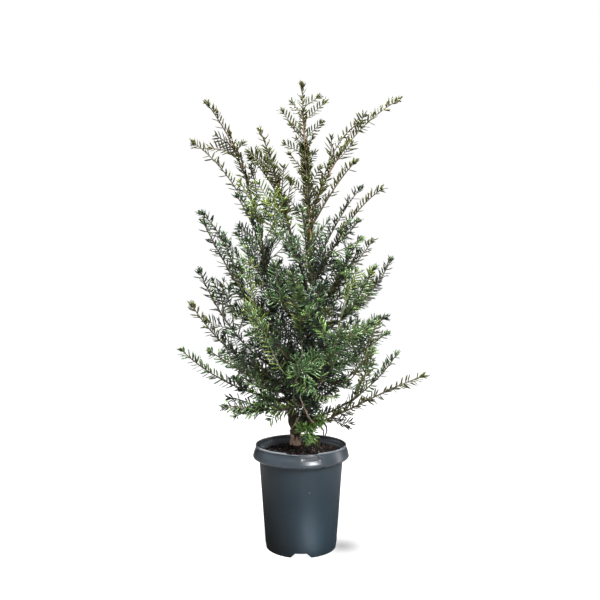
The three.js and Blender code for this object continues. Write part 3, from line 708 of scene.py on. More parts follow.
# %% Boughs
# name: (on, rise, compass, reach, top, leave, arrive, bare, forks), where a fork is
# (at, compass, reach, top, leave, arrive). Heights and reaches in millimetres, angles in degrees.
BOUGHS = {
    "second_stem": ("trunk", 285, 185, 236, 1108, 72, 52, 0.56, [(0.57, 193, 267, 998, 66, 32)]),
    "left_skirt": ("second_stem", 340, 197, 196, 355, 2, 8, 0.26, [(0.34, 184, 183, 372, 10, 2)]),
    "left_low": ("second_stem", 360, 187, 296, 492, 9, 45, 0.26, [(0.36, 213, 186, 430, 12, 42)]),
    "left_low_front": ("second_stem", 382, 211, 246, 497, 22, 34, 0.22, []),
    "left_wide": ("second_stem", 404, 193, 272, 604, 22, 58, 0.25, []),
    "left_middle": ("second_stem", 440, 200, 258, 686, 20, 66, 0.22, []),
    "left_shoulder": ("second_stem", 538, 206, 255, 798, 38, 60, 0.24, [(0.34, 194, 250, 827, 62, 38)]),
    "left_upper": ("second_stem", 672, 211, 177, 862, 74, 42, 0, []),
    "left_inner": ("trunk", 606, 155, 118, 1060, 68, 66, 0.22, [(0.42, 196, 129, 968, 74, 38)]),
    "right_skirt": ("trunk", 290, 348, 302, 431, 16, 20, 0.2, []),
    "right_low": ("trunk", 312, 358, 240, 480, 10, 58, 0.26, [(0.5, 14, 191, 482, 60, 78)]),
    "right_wide_back": ("trunk", 395, 11, 226, 530, 30, 34, 0.22, []),
    "right_wide": ("trunk", 445, 347, 215, 573, 30, 26, 0.22, []),
    "right_middle": ("trunk", 522, 1, 227, 718, 28, 66, 0.22, [(0.3, 342, 188, 695, 36, 55)]),
    "right_shoulder": ("trunk", 580, 19, 199, 775, 48, 54, 0.22, [(0.34, 352, 152, 771, 56, 44)]),
    "right_upper": ("trunk", 655, 349, 203, 890, 58, 32, 0.22, [(0.36, 331, 158, 806, 34, 42)]),
    "right_upper_back": ("trunk", 690, 17, 160, 908, 62, 50, 0, []),
    "right_upper_front": ("trunk", 795, 334, 145, 950, 56, 40, 0, []),
    "right_top": ("trunk", 812, 6, 250, 1131, 76, 30, 0.14, [(0.18, 354, 145, 1061, 76, 32)]),
    "front_foot": ("trunk", 318, 296, 80, 274, 4, -46, 0, []),
    "front_low": ("trunk", 385, 276, 218, 432, 12, 24, 0.24, []),
    "front_left": ("trunk", 425, 236, 214, 598, 32, 52, 0.22, []),
    "front_right": ("trunk", 470, 303, 204, 566, 26, 32, 0.24, []),
    "front_middle": ("trunk", 540, 262, 150, 684, 38, 72, 0.2, []),
    "front_upper": ("trunk", 640, 272, 100, 830, 52, 66, 0, []),
    "back_low_left": ("trunk", 365, 141, 256, 455, 18, 34, 0.24, []),
    "back_low_right": ("trunk", 350, 47, 262, 442, 16, 30, 0.24, []),
    "back_middle": ("trunk", 430, 95, 216, 600, 26, 54, 0.26, []),
    "back_left": ("trunk", 515, 132, 212, 745, 38, 54, 0.22, []),
    "back_right": ("trunk", 545, 57, 204, 694, 34, 50, 0.22, []),
    "back_top": ("trunk", 735, 88, 112, 960, 58, 56, 0, []),
}
LEADER_TIP = np.array([3.0, 0.0, 1160.0])
BARE = {name: row[7] for name, row in BOUGHS.items()}
THIN_BARE = {name: bare for name, bare in BARE.items() if 0 < bare and name != "second_stem"}


def tip_of(compass, reach, top):
    """The place at a compass angle from the pot's axis, so far out and so high."""
    return heading(compass, 0) * [reach, reach, 0] + UP * top


lines = {"trunk": trunk_line}
for name, (on, rise, compass, reach, top, leave, arrive, bare, forks) in BOUGHS.items():
    lines[name] = limb_line(at_height(lines[on], rise), tip_of(compass, reach, top), leave, arrive)
print("boughs:", len(BOUGHS), "with", sum(len(row[-1]) for row in BOUGHS.values()), "forks")

# %% [markdown]
# ## Bark
#
# Young yew bark is thin and flakes off in long scales, pinkish where it is fresh. Bump in the material
# alone would leave the limbs' outline smooth, so the relief is worked into the mesh: a limb is a grid over
# (distance along, turn around), its radius the tapering limb's own plus ridges along it and the edges of
# scales. Where a bough leaves a thicker limb it swells to a collar.

# %% How thick a limb is
TRUNK_FOOT, TRUNK_TIP, STEM_FOOT, STEM_TIP = 14.0, 3.4, 9.5, 2.4
BURIED = 8  # the length of the trunk that is under the compost
FLARE, FLARE_HEIGHT = 6.0, 14.0
BULGE, BULGE_AT, BULGE_WIDTH = 8.0, 96, 34  # on the trunk, facing the second stem, in millimetres
SWELL, SWELL_AT, SWELL_WIDTH = 0.7, 25, 24  # on the second stem, just past its root, as a share


def trunk_radius(share, turn):
    """The trunk's taper, a flare with three root lobes that dies away upward, and a bulge in the fork.

    The bulge is a bell curve of the height, strongest at the left and gone at the right."""
    height = np.maximum(0, share * TRUNK_LENGTH - BURIED)
    lobes = FLARE * np.exp(-height / FLARE_HEIGHT) * (1 + 0.35 * np.cos(3 * turn + 1))
    to_the_left = (0.5 - 0.5 * np.cos(turn)) ** 2
    bulge = BULGE * np.exp(-(((height - BULGE_AT) / BULGE_WIDTH) ** 2)) * to_the_left
    return TRUNK_TIP + (TRUNK_FOOT - TRUNK_TIP) * (1 - share) ** 1.6 + lobes + bulge


def bough_radius(name, share):
    """A bough thins from its root, which grows with its length, to the foot of its leafy part.

    The second stem also swells by a bell curve of the distance from its root."""
    length = length_of(lines[name])
    root = STEM_FOOT if name == "second_stem" else 1.9 + 0.0105 * length
    taper = STEM_TIP + (root - STEM_TIP) * (1 - share) ** 0.8
    if name != "second_stem":
        return taper
    distance = share * BARE[name] * length
    return taper * (1 + SWELL * np.exp(-(((distance - SWELL_AT) / SWELL_WIDTH) ** 2)))


print("second stem:", round(2 * bough_radius("second_stem", 1.0), 1), "mm thick where its needles start")

# %% Tubes and bark
RELIEF = 0.16  # the bark's depth, as a share of the limb's radius
COLLAR_LENGTH = 9
LIMB_FACE = np.array([0, -1, -0.01])  # towards the front, and never quite along a limb


def tube(centre, along, face, size, past_ends):
    """A closed tube: at each centre a ring square to its direction, each point moved out by its own size.

    past_ends says how far along the line the points stand that close its first and its last ring."""
    rows, columns = size.shape
    turn = np.arange(columns) / columns * 2 * np.pi
    side = units(np.cross(along, face))
    other = np.cross(along, side)
    ring = np.cos(turn)[:, None] * side[:, None] + np.sin(turn)[:, None] * other[:, None]
    rings = (centre[:, None] + size[:, :, None] * ring).reshape(-1, 3)
    hubs = centre[[0, -1]] + along[[0, -1]] * np.array(past_ends)[:, None]
    first = np.arange(columns)
    ends = [fan(first, len(rings))[:, ::-1], fan(first + (rows - 1) * columns, len(rings) + 1)]
    return np.concatenate([rings, hubs]), np.concatenate([grid(rows, columns), *ends])


def scales(distance, turn, seed):
    """Bark from 0 to 1: ridges at least three times as long as wide, and finer, sharper flakes on them."""
    around = turn / (2 * np.pi)
    ridge = smooth_noise(distance / 26, around * 9, 9, seed)
    flake = smooth_noise(distance / 8, around * 15, 15, seed + 1)
    fine = smooth_noise(distance / 2.5, around * 31, 31, seed + 2)
    step = np.clip((flake - 0.45) * 5, 0, 1)
    return 0.45 * ridge + 0.4 * step + 0.15 * fine


def bark_limb(line, end, columns, step, radius, seed, collar=0.0):
    """A closed limb up to share `end` of its line, with a ring every `step` millimetres.

    Its size is its radius, times a collar that dies away from the root, plus the scales' relief."""
    rows = max(4, int(length_of(line) * end / step))
    share = np.linspace(0, 1, rows)[:, None]
    turn = np.arange(columns) / columns * 2 * np.pi
    distance = share * length_of(line) * end
    size = radius(share, turn) + 0 * turn
    relief = RELIEF * size * (scales(distance, turn, seed) - 0.5)
    size = size * (1 + collar * np.exp(-distance / COLLAR_LENGTH)) + relief
    return tube(*on_line(line, end * share[:, 0]), LIMB_FACE, size, (0, 1))


def bark_finish(name, light, middle, dark, spread=0.16, patches=60, centre=0.50, roughness=0.8):
    """Scales in three colours, picked by long noise from weathered to fresh: sharply, if spread is small."""
    finish = Finish(name, Roughness=roughness)
    patch = finish.noise(patches, 5, (1, 1, 0.35))
    fleck = finish.noise(330, 3, (1, 1, 0.4))
    age = patch * 0.65 + fleck * 0.35
    stops = [(centre - spread, dark), (centre, middle), (centre + spread, light)]
    finish.feed("Base Color", age.ramp(stops))
    return finish.bump(fleck + patch, 0.0008)


pink_bark = bark_finish(
    "pink_bark", (1.0, 0.74, 0.58), (0.90, 0.46, 0.30), (0.03, 0.012, 0.008), 0.04, 130, 0.46, 0.45)
brown_bark = bark_finish("brown_bark", (0.11, 0.072, 0.048), (0.046, 0.032, 0.023), (0.018, 0.013, 0.010))
young_bark = bark_finish("young_bark", (0.36, 0.19, 0.085), (0.17, 0.095, 0.042), (0.06, 0.04, 0.02))
print("bark:", ", ".join(finish.material.name for finish in (pink_bark, brown_bark, young_bark)))

# %% The trunk
PINK_TO, YOUNG_FROM, YOUNG_TO = 290, 735, 795  # pink below the first height, orange from the second
RAGGED, LESS_BEHIND = 26, 32  # how far the pink bark's edge wanders, and how much lower it is behind
trunk_points, trunk_triangles = bark_limb(trunk_line, 1, 56, 2.2, trunk_radius, 21)
trunk_x, trunk_y, trunk_heights = trunk_points[trunk_triangles].mean(1).T
facing = np.arctan2(trunk_y - 5, trunk_x + 12)
pink_edge = PINK_TO - RAGGED * smooth_noise(trunk_heights / 9, facing / (2 * np.pi) * 11 + 11, 11, 8)
pink_edge -= LESS_BEHIND * np.clip(np.sin(facing), 0, 1)
trunk_tones = (trunk_heights > pink_edge) * 1 + (trunk_heights > YOUNG_FROM) - (trunk_heights > YOUNG_TO)
piece("trunk_bark", trunk_points, trunk_triangles, [pink_bark, brown_bark, young_bark], "bark", ["trunk"],
      trunk_tones)

# %% The bare part of each bough
limb_parts = []
for number, name in enumerate(BOUGHS):
    if BARE[name]:
        columns, collar = (36, 0.25) if name == "second_stem" else (16, 0.5)
        limb_parts.append(bark_limb(
            lines[name], BARE[name], columns, 2.4, lambda share, _, name=name: bough_radius(name, share),
            50 + number, collar))
bare_nodes = ["second_stem"] + [f"bough_{name}" for name in THIN_BARE]
piece("bough_bark", *joined(limb_parts), [brown_bark], "bark", bare_nodes)

# %% [markdown]
# ## Growing the shoots
#
# A yew branches by one rule over and over: a leading shoot bears side shoots left and right, shorter towards
# its tip, and each leans out at about 48 degrees. A tree add-on could grow some crown, but not this one, so
# the rule that made the solids is used again with the same seeds. Here it runs three times as densely, with
# less room asked between neighbours, and once more on the side shoots for the finest twigs.

# %% The branching rule
SIDE_STEP, SIDE_ANGLE, LONGEST, SHORTEST = 52.0, 48.0, 112.0, 46.0
DENSER = 3  # side shoots for each one of the solids'
ROOM = 9.0  # least distance to another mass's shoots
TOP_FROM, TOP_TO, TOP_LEAST = 660.0, 1100.0, 0.22
ELBOW = 0.55  # where a shoot bends upward, as a share of its length
LAST_SIDE = 0.82  # the share of a leading shoot up to which the solids' rule sets side shoots


def chance(k):
    """A number from 0 to 1 that depends on k alone: the fraction left of a large multiple of its sine."""
    x = np.sin(k * 12.9898) * 43758.5453
    return x - np.floor(x)


def fullness(z):
    """1 low in the crown, and much less in its open top."""
    return 1 - (1 - TOP_LEAST) * np.clip((z - TOP_FROM) / (TOP_TO - TOP_FROM), 0, 1)


def turned(vector, axis, degrees):
    """A vector turned about a unit axis, by Rodrigues' formula."""
    angle = np.radians(degrees)
    level = axis * (axis @ vector)
    return level + (vector - level) * np.cos(angle) + np.cross(axis, vector) * np.sin(angle)


def upper_side(along, roll):
    """The direction that a shoot's upper side faces: up, or to the front where the shoot is upright.

    It is made square to the shoot and then rolled about it."""
    face = UP - along * along[2]
    if np.linalg.norm(face) < 0.2:
        face = np.array([0.0, -1.0, 0.0])
    return turned(units(face), along, roll)


def lit_side(along, place, luck):
    """The side that a comb of needles turns to the light: away from the trunk, and by luck more or less up.

    One comb in five is turned over, so that its undersides show."""
    away = np.array([place[0] * 0.5, place[1] - 20, 0])
    face = UP * (0.25 + luck) + away / (np.linalg.norm(away) + 1)
    face = units(face - along * (along @ face) + 1e-6 * UP)
    return -face if luck > 0.8 else face


def shoot(line, start, root, face, mass, kind, length=None):
    """One leafy shoot, as a plain dictionary with a few points along it for the room tests."""
    length = length or length_of(line) * (1 - start)
    t = np.linspace(start, 1, max(3, int(length / 8) + 1))
    return dict(line=line, start=start, root=root, face=face, mass=mass, kind=kind, length=length,
                points=on_line(line, t)[0])


def place_of(k, count):
    """How far along the shoot's bearing part side shoot k of count stands: evenly, clear of both ends."""
    return (k + 0.6) / (count + 0.5)


def sprung(start, run, length, ahead, rise):
    """A line that leaves along run and bends up, to length * (ahead along run + rise straight up)."""
    tip = start + run * length * ahead + UP * length * rise
    return bent(start, start + run * length * ELBOW, tip)


def side_shoot(parent, k, count, seed):
    """Side shoot k of count. Whole k gives the solids' own shoots, and thirds the ones between them.

    It leans out by about SIDE_ANGLE, left and right by turns, and is shorter towards the parent's tip."""
    share = place_of(k, count)
    start, along = spot_on(parent["line"], parent["start"] + (1 - parent["start"]) * share * LAST_SIDE)
    side = -1 if round(k * DENSER) % 2 else 1
    roll = (chance(seed + k) - 0.5) * 110
    out = turned(units(np.cross(along, parent["face"])) * side, along, roll)
    angle = np.radians(SIDE_ANGLE + 16 * (chance(seed + k + 31) - 0.5))
    run = along * np.cos(angle) + out * np.sin(angle)
    size = (0.8 + 0.4 * chance(seed + k + 67)) * (0.55 + 0.45 * fullness(start[2]))
    length = (SHORTEST + (LONGEST - SHORTEST) * (1 - share)) * size
    face = lit_side(run, start + run * length * ELBOW, chance(seed + k + 97))
    return shoot(sprung(start, run, length, 0.94, 0.16), 0, 1.0, face, parent["mass"], "side", length)


def has_room(points, others, room):
    """Whether all points keep at least `room` away from all others."""
    if not len(others):
        return True
    near = others[(np.abs(others - points.mean(0)) < np.ptp(points, axis=0) / 2 + 60 + room).all(1)]
    return not len(near) or ((points[:, None] - near) ** 2).sum(-1).min() > room**2


print("fullness at 500, 800 and 1100 mm:", [round(float(fullness(z)), 2) for z in (500, 800, 1100)])

# %% Leading shoots
JOINT_GAP = 0.3  # between a bough's bare part and its leafy part
FORK_ROOT, LEADER_ROOT, LEADER_RISE = 1.7, 3.5, 80
masses = {}
for i, (name, row) in enumerate(BOUGHS.items()):
    bare, forks = row[7:]
    start = bare + (JOINT_GAP / length_of(lines[name]) if bare else 0)
    _, middle = spot_on(lines[name], (1 + start) / 2)
    face = upper_side(middle, (chance(i + 5) - 0.5) * 90)
    masses[name] = [shoot(lines[name], start, STEM_TIP, face, name, "leading")]
    for j, (at, *tip, leave, arrive) in enumerate(forks):
        fork = limb_line(spot_on(lines[name], at)[0], tip_of(*tip), leave, arrive)
        face = upper_side(spot_on(fork, 0.5)[1], (chance(i + j + 55) - 0.5) * 90)
        masses[name].append(shoot(fork, 0, FORK_ROOT, face, name, "leading"))

leader_foot, leader_way = spot_on(trunk_line, 1)
leader_bend = LEADER_TIP + [1, 0, -LEADER_RISE]
lines["leader"] = np.array([[leader_foot, leader_foot + leader_way * LEADER_RISE, leader_bend, LEADER_TIP]])
leader_face = upper_side(spot_on(lines["leader"], 0.5)[1], 0)
masses["leader"] = [shoot(lines["leader"], 0, LEADER_ROOT, leader_face, "leader", "leading")]
print("leading shoots:", sum(len(m) for m in masses.values()))

# %% [markdown]
# Side shoots fill the crown's close core and thin out beyond it. Round places stay open, so that the sky
# shows between the shoots from the front, and none hangs down before the trunk's foot.

# %% Where shoots may stand
CLEAN_FROM = 0.74  # past this share of a leading shoot there are no side shoots: its tip is clean
OUTER_KEPT = {"left": 0.6, "right": 0.15}  # share of side shoots kept outside the crown's close core
LOWEST = 330  # no side shoot hangs lower than this
# The close core's reach at a few heights: it widens from the crown's foot and narrows to the open top.
CORE = [300, 374, 415, 458, 620, 740, 840, 1100], [75, 105, 135, 160, 150, 115, 55, 40]
# Places where the sky shows between the shoots: to the right, height and radius, at the trunk's distance.
OPEN_PLACES = [
    (-36, 716, 10), (-28, 559, 8), (-28, 516, 9), (81, 544, 16), (-92, 460, 18), (8, 429, 15),
    (-142, 726, 10), (157, 445, 26), (71, 772, 18), (-142, 541, 10), (-15, 804, 24), (-58, 913, 20),
    (94, 868, 38), (51, 842, 26), (53, 959, 32), (-159, 369, 26), (-120, 371, 20), (73, 336, 34),
    (-78, 296, 40), (-36, 318, 22), (-185, 1009, 40), (-263, 736, 28), (-164, 840, 20), (152, 718, 15),
    (210, 658, 18), (-266, 536, 22), (-223, 471, 18), (-238, 531, 16), (-150, 416, 20), (154, 420, 20),
    (210, 486, 16), (88, 950, 20), (-262, 645, 20), (216, 636, 16), (-290, 452, 16), (160, 396, 16),
    (152, 592, 15),
]


def clears_ground(points, slack=0):
    """Whether a shoot stays above the crown's open foot, which rises towards the right."""
    return (points[:, 2] > LOWEST - slack + 0.8 * np.clip(points[:, 0] - 30, 0, 90)).all()


def seen_at(points):
    """Where the camera sees points: to the right and height, at the trunk's distance.

    Both are scaled about the camera's own by its distance to the trunk over its distance to the point."""
    return EYE[[0, 2]] + (points[:, [0, 2]] - EYE[[0, 2]]) * (-EYE[1] / (points[:, 1:2] - EYE[1]))


def hides(points, places):
    """Whether any of the points stands before or behind one of the round places."""
    places = np.array(places, float)
    away = np.linalg.norm(seen_at(points)[:, None] - places[:, :2], axis=-1)
    return bool((away < places[:, 2]).any())


def in_core(point, grow=1.0):
    """Whether a point is in the crown's close core, which reaches a little further to the left."""
    reach = np.interp(point[2], *CORE)
    away = (point - at_height(trunk_line, min(point[2], 900)))[:2]
    distance = np.hypot(*away)
    return distance < reach * grow * (1.04 - 0.18 * away[0] / (distance + 1))


limb_points = np.concatenate(
    [on_line(trunk_line, np.linspace(0, 1, 90))[0]]
    + [on_line(lines[name], np.linspace(0, bare, 24))[0] for name, bare in BARE.items() if bare])
print("limbs:", len(limb_points), "points to keep clear of, and", len(OPEN_PLACES), "open places")


# %% Side shoots
def side_count(parent):
    """One side shoot for each SIDE_STEP of length; none on the lowest spray and on the leader."""
    return 0 if parent["mass"] in ("front_foot", "leader") else int(parent["length"] / SIDE_STEP)


leading = [(m, p, one) for m, shoots in enumerate(masses.values()) for p, one in enumerate(shoots)]
taken_points = np.concatenate([one["points"] for _, _, one in leading])
taken_mass = np.concatenate([[m] * len(one["points"]) for m, _, one in leading])
sides_made = []
for third in range(DENSER):
    for k in range(max(side_count(one) for _, _, one in leading)):
        for m, p, parent in leading:
            count, step, seed = side_count(parent), k + third / DENSER, 100 * (m + 1)
            if k >= count or place_of(step, count) * LAST_SIDE > CLEAN_FROM:
                continue
            new = side_shoot(parent, step, count, seed + 17 * p)
            foot, outer = new["points"][0], new["points"][2:]
            kept = fullness(foot[2])
            if not in_core(foot):
                kept *= 0 if third else OUTER_KEPT["left" if foot[0] < 0 else "right"]
            if not clears_ground(new["points"]) or hides(new["points"][1:], OPEN_PLACES):
                continue
            lucky = chance(seed + step + 13) <= kept
            others = taken_points[taken_mass != m]
            if lucky and has_room(outer, others, ROOM) and has_room(outer, limb_points, ROOM):
                sides_made.append(new)
                masses[new["mass"]].append(new)
                taken_points = np.concatenate([taken_points, new["points"]])
                taken_mass = np.concatenate([taken_mass, [m] * len(new["points"])])
print("side shoots:", len(sides_made))

# %% Side shoots of the leader
# The height where each leaves the leader or the trunk's top, and its tip.
LEADER_SIDES = [
    (1108, (45, -6, 1129)), (1085, (-23, 10, 1121)), (1070, (60, -10, 1116)), (1032, (-48, -8, 1093)),
    (1027, (53, 6, 1070)), (1022, (-28, -22, 1055)), (997, (30, -30, 1019)), (987, (-43, 8, 1017)),
    (941, (-28, -20, 982)), (880, (-33, -14, 923)), (1045, (8, 46, 1082)), (1005, (-12, 48, 1040)),
    (960, (34, 44, 1000)), (915, (-6, 52, 955)), (1060, (6, -34, 1088)), (900, (48, -30, 946)),
]
for z, tip in LEADER_SIDES:
    foot, tip = at_height(lines["leader" if z > leader_foot[2] else "trunk"], z), np.array(tip, float)
    run = tip - foot
    elbow = foot + run * 0.5 - UP * 0.08 * np.linalg.norm(run)
    face = lit_side(units(run), elbow, chance(z))
    masses["leader"].append(shoot(bent(foot, elbow, tip), 0, 1.3, face, "leader", "side"))
print("side shoots of the leader:", len(LEADER_SIDES))

# %% [markdown]
# The finest twigs come last. Each side shoot that is long enough bears a few, in its own plane, and the
# bare wood inside the crown bears short leafy shoots that close the view through the middle.

# %% Twiglets
TWIGLET_STEP, TWIGLET_LONGEST, TWIGLET_SHORTEST, TWIGLET_ROOM = 21.0, 48.0, 24.0, 6.0
BEARER_LEAST = 52  # a side shoot shorter than this bears none
grown = np.random.default_rng(5)


def bent_shoot(start, run, length, face, mass, kind, root=0.8):
    """A short shoot that starts along run and turns a little upward."""
    return shoot(sprung(start, run, length, 0.95, 0.12), 0, root, face, mass, kind, length)


def beside(along, face, number):
    """Square out from a shoot in its own plane: to one side and the other by turns."""
    return units(np.cross(along, face)) * (1 if number % 2 else -1)


twiglets = 0
for parent in sides_made:
    if parent["length"] < BEARER_LEAST or not in_core(parent["points"][-1], 1.1):
        continue
    count = int(parent["length"] * 0.7 / TWIGLET_STEP)
    for n in range(count):
        t = 0.16 + 0.62 * (n + grown.random()) / count
        start, along = spot_on(parent["line"], t)
        out = turned(beside(along, parent["face"], n), along, grown.uniform(-25, 25))
        run = units(along + out * grown.uniform(0.7, 1.1))
        length = (TWIGLET_LONGEST - (TWIGLET_LONGEST - TWIGLET_SHORTEST) * t) * grown.uniform(0.75, 1.15)
        new = bent_shoot(start, run, length, parent["face"], parent["mass"], "twiglet")
        outer = new["points"][1:]
        free = clears_ground(outer) and not hides(outer, OPEN_PLACES)
        if free and has_room(outer, taken_points, TWIGLET_ROOM) and has_room(outer, limb_points, ROOM):
            twiglets += 1
            masses[new["mass"]].append(new)
            taken_points = np.concatenate([taken_points, outer])
print("twiglets:", twiglets)

# %% Inner shoots
INNER_TRIES, INNER_ROOM = 460, 5.5
INNER_LENGTHS = 50, 115
GOLDEN_TURN = 137.5  # degrees from one shoot or needle to the next, which spreads any number evenly
# The limbs that bear them: a line, from and to which share of it, and its weight in the draw.
bearers = [(trunk_line, 0.16, 0.78, 200), (lines["second_stem"], 0.12, 0.56, 120)]
bearers += [(lines[name], 0.35 * bare, bare, 14) for name, bare in THIN_BARE.items()]
weights = np.array([weight for *_, weight in bearers], float)
masses["inner"] = []
for n in range(INNER_TRIES):
    line, low, high, _ = bearers[grown.choice(len(bearers), p=weights / weights.sum())]
    start, along = spot_on(line, grown.uniform(low, high))
    out = turned(units(np.cross(along, [0.3, 0.9, 0.1])), along, n * GOLDEN_TURN)
    run = units(along * grown.uniform(0.25, 0.9) + out)
    full = fullness(start[2])
    length = grown.uniform(*INNER_LENGTHS) * (0.45 + 0.55 * full)
    face = lit_side(run, start + run * length / 2, grown.random())
    new = bent_shoot(start, run, length, face, "inner", "side", 1.0)
    points = new["points"]
    wanted = clears_ground(points, 10) and grown.random() < 0.1 + 0.9 * full
    if wanted and not hides(points[1:], OPEN_PLACES) and has_room(points[3:], taken_points, INNER_ROOM):
        masses["inner"].append(new)
        taken_points = np.concatenate([taken_points, points[2:]])
print("inner shoots:", len(masses["inner"]))

# %% [markdown]
# Some sprays catch the eye, at the front, at the crown's edge and at the trunk's foot, so each has a row of
# its own. Old bare twigs and stalks have rows too: they show what a shrub is like close to.

# %% Sprays placed one by one
# The limb that a spray grows from and the share along it, where its needles start, its tip, and its tone,
# if that isn't left to its place.
PLACED_SPRAYS = [
    ("front_left", 0.20, (-39, -130, 446), (-104, -130, 585), "fresh"),
    ("trunk", 0.30, (0, -120, 531), (-17, -120, 674), "fresh"),
    ("trunk", 0.28, (57, -140, 523), (11, -140, 590), ""),
    ("right_wide", 0.25, (104, -100, 604), (132, -100, 684), "fresh"),
    ("right_wide_back", 0.15, (119, -90, 428), (181, -90, 561), ""),
    ("front_low", 0.30, (42, -120, 419), (105, -120, 508), ""),
    ("right_low", 0.40, (145, -70, 394), (160, -70, 481), "fresh"),
    ("left_shoulder", 0.10, (-122, -90, 574), (-114, -90, 644), "fresh"),
    ("trunk", 0.20, (-11, -150, 435), (41, -150, 487), "mid"),
    ("trunk", 0.17, (5, -110, 367), (-59, -110, 355), "fresh"),
    ("second_stem", 0.50, (-60, -60, 813), (-104, -60, 901), "fresh"),
    ("front_middle", 0.15, (30, -110, 560), (44, -110, 640), ""),
    ("front_middle", 0.18, (-40, -110, 600), (-62, -110, 700), ""),
    ("front_right", 0.15, (60, -120, 470), (92, -150, 540), ""),
    ("front_left", 0.15, (-50, -110, 500), (-70, -130, 570), ""),
    ("left_low_front", 0.35, (-95, -60, 403), (-141, -60, 428), "bright"),
    ("trunk", 0.40, (-40, 60, 540), (-80, 60, 600), "deep"),
    ("trunk", 0.44, (-30, 60, 580), (-52, 60, 650), "deep"),
    ("left_skirt", 0.10, (-40, -45, 346), (-187, -50, 358), "bright"),
    ("right_skirt", 0.28, (88, -14, 313), (116, -18, 299), "deep"),
    ("left_middle", 0.62, (-192, -60, 616), (-214, -66, 665), ""),
    ("left_middle", 0.50, (-168, -60, 592), (-192, -62, 650), ""),
    ("left_middle", 0.45, (-136, -58, 606), (-158, -64, 675), ""),
    ("left_shoulder", 0.35, (-141, -50, 653), (-158, -56, 738), ""),
    ("left_shoulder", 0.30, (-124, -50, 672), (-131, -52, 743), ""),
    ("left_inner", 0.30, (-46, -30, 850), (-43, -30, 948), "olive"),
    ("second_stem", 0.66, (-110, -30, 880), (-124, -36, 950), "olive"),
    ("second_stem", 0.72, (-140, -26, 925), (-150, -30, 975), "olive"),
    ("second_stem", 0.79, (-170, -14, 998), (-212, -20, 1028), ""),
    ("second_stem", 0.77, (-162, -10, 990), (-147, -8, 1010), ""),
    ("second_stem", 0.76, (-172, -16, 984), (-226, -24, 996), ""),
    ("second_stem", 0.60, (-100, -40, 815), (-150, -52, 908), "fresh"),
    ("front_foot", 0.30, (18, -56, 316), (13, -86, 292), "vivid"),
    ("front_foot", 0.32, (17, -60, 312), (14, -92, 281), "vivid"),
    ("front_foot", 0.35, (20, -58, 312), (20, -90, 279), "vivid"),
    ("front_foot", 0.35, (19, -55, 316), (27, -84, 288), "vivid"),
    ("front_foot", 0.40, (21, -52, 310), (30, -76, 282), "vivid"),
    ("front_foot", 0.25, (22, -50, 328), (34, -70, 320), ""),
    ("front_foot", 0.20, (18, -45, 330), (22, -66, 362), ""),
    ("trunk", 0.14, (-8, 34, 306), (-4, 62, 358), "deep"),
    ("trunk", 0.20, (4, 40, 312), (8, 66, 366), "deep"),
    ("left_inner", 0.50, (-74, -36, 936), (-126, -44, 980), "olive"),
    ("left_inner", 0.56, (-66, -30, 930), (-80, -34, 985), "olive"),
    ("second_stem", 0.74, (-118, -34, 930), (-104, -40, 985), "olive"),
]
# Tone, radius at the root, and points.
BARE_TWIGS = [
    ("dry", 2.2, [(30, 2, 300), (35, -60, 312), (19, -94, 337), (8, -98, 360), (-3, -98, 387)]),
    ("dry", 2.0, [(2, -8, 326), (-3, -62, 334), (-14, -70, 318), (-25, -66, 302)]),
    ("stalk", 2.8, [(44, 2, 300), (50, -4, 298), (56, -8, 290), (57, -10, 276)]),
    ("stalk", 2.6, [(58, 0, 306), (64, -6, 298), (65, -9, 288), (61, -10, 276)]),
]
print("placed:", len(PLACED_SPRAYS), "sprays and", len(BARE_TWIGS), "bare twigs")

# %% Growing the placed sprays
SPRAY_TWIGLET_STEP = 26
LONG_SPRAY, OPEN_TOP, SLIM_ABOVE, GREEN_ABOVE = 60, 800, 940, 400  # a length, and three heights
sprays = []
for limb, at, foot, tip, tone in PLACED_SPRAYS:
    line = through(np.array([spot_on(lines[limb], at)[0], foot, tip], float))
    long = np.linalg.norm(np.subtract(tip, foot)) > LONG_SPRAY and tip[2] < OPEN_TOP
    share = 0.5 if long else 0.25
    face = lit_side(spot_on(line, 0.8)[1], np.array(foot, float), 0.0)
    main = dict(shoot(line, share, 1.3, face, "inner", "side"), tone=tone)
    stalk_tone = "fresh" if tone == "fresh" and foot[2] > GREEN_ABOVE else "stalk"
    sprays += [main, dict(shoot(line, 0, 1.7, face, "inner", "bare"), tone=stalk_tone)]
    slim = tip[2] > SLIM_ABOVE or (tone == "fresh" and tip[2] < OPEN_TOP)
    count = 0 if slim else int(main["length"] / SPRAY_TWIGLET_STEP)
    for n in range(count):
        start, along = spot_on(line, share + (1 - share) * (0.08 + 0.6 * n / count))
        length = (52 - 24 * n / count) * grown.uniform(0.8, 1.15)
        run = units(along + beside(along, face, n) * grown.uniform(0.7, 1.0))
        sprays.append(dict(bent_shoot(start, run, length, face, "inner", "twiglet"), tone=tone))
for tone, root, points in BARE_TWIGS:
    line = through(np.array(points, float))
    face = upper_side(spot_on(line, 0.5)[1], 0)
    sprays.append(dict(shoot(line, 0, root, face, "inner", "bare"), tone=tone))
masses["inner"] += sprays
print("placed sprays and bare twigs:", len(sprays), "shoots")

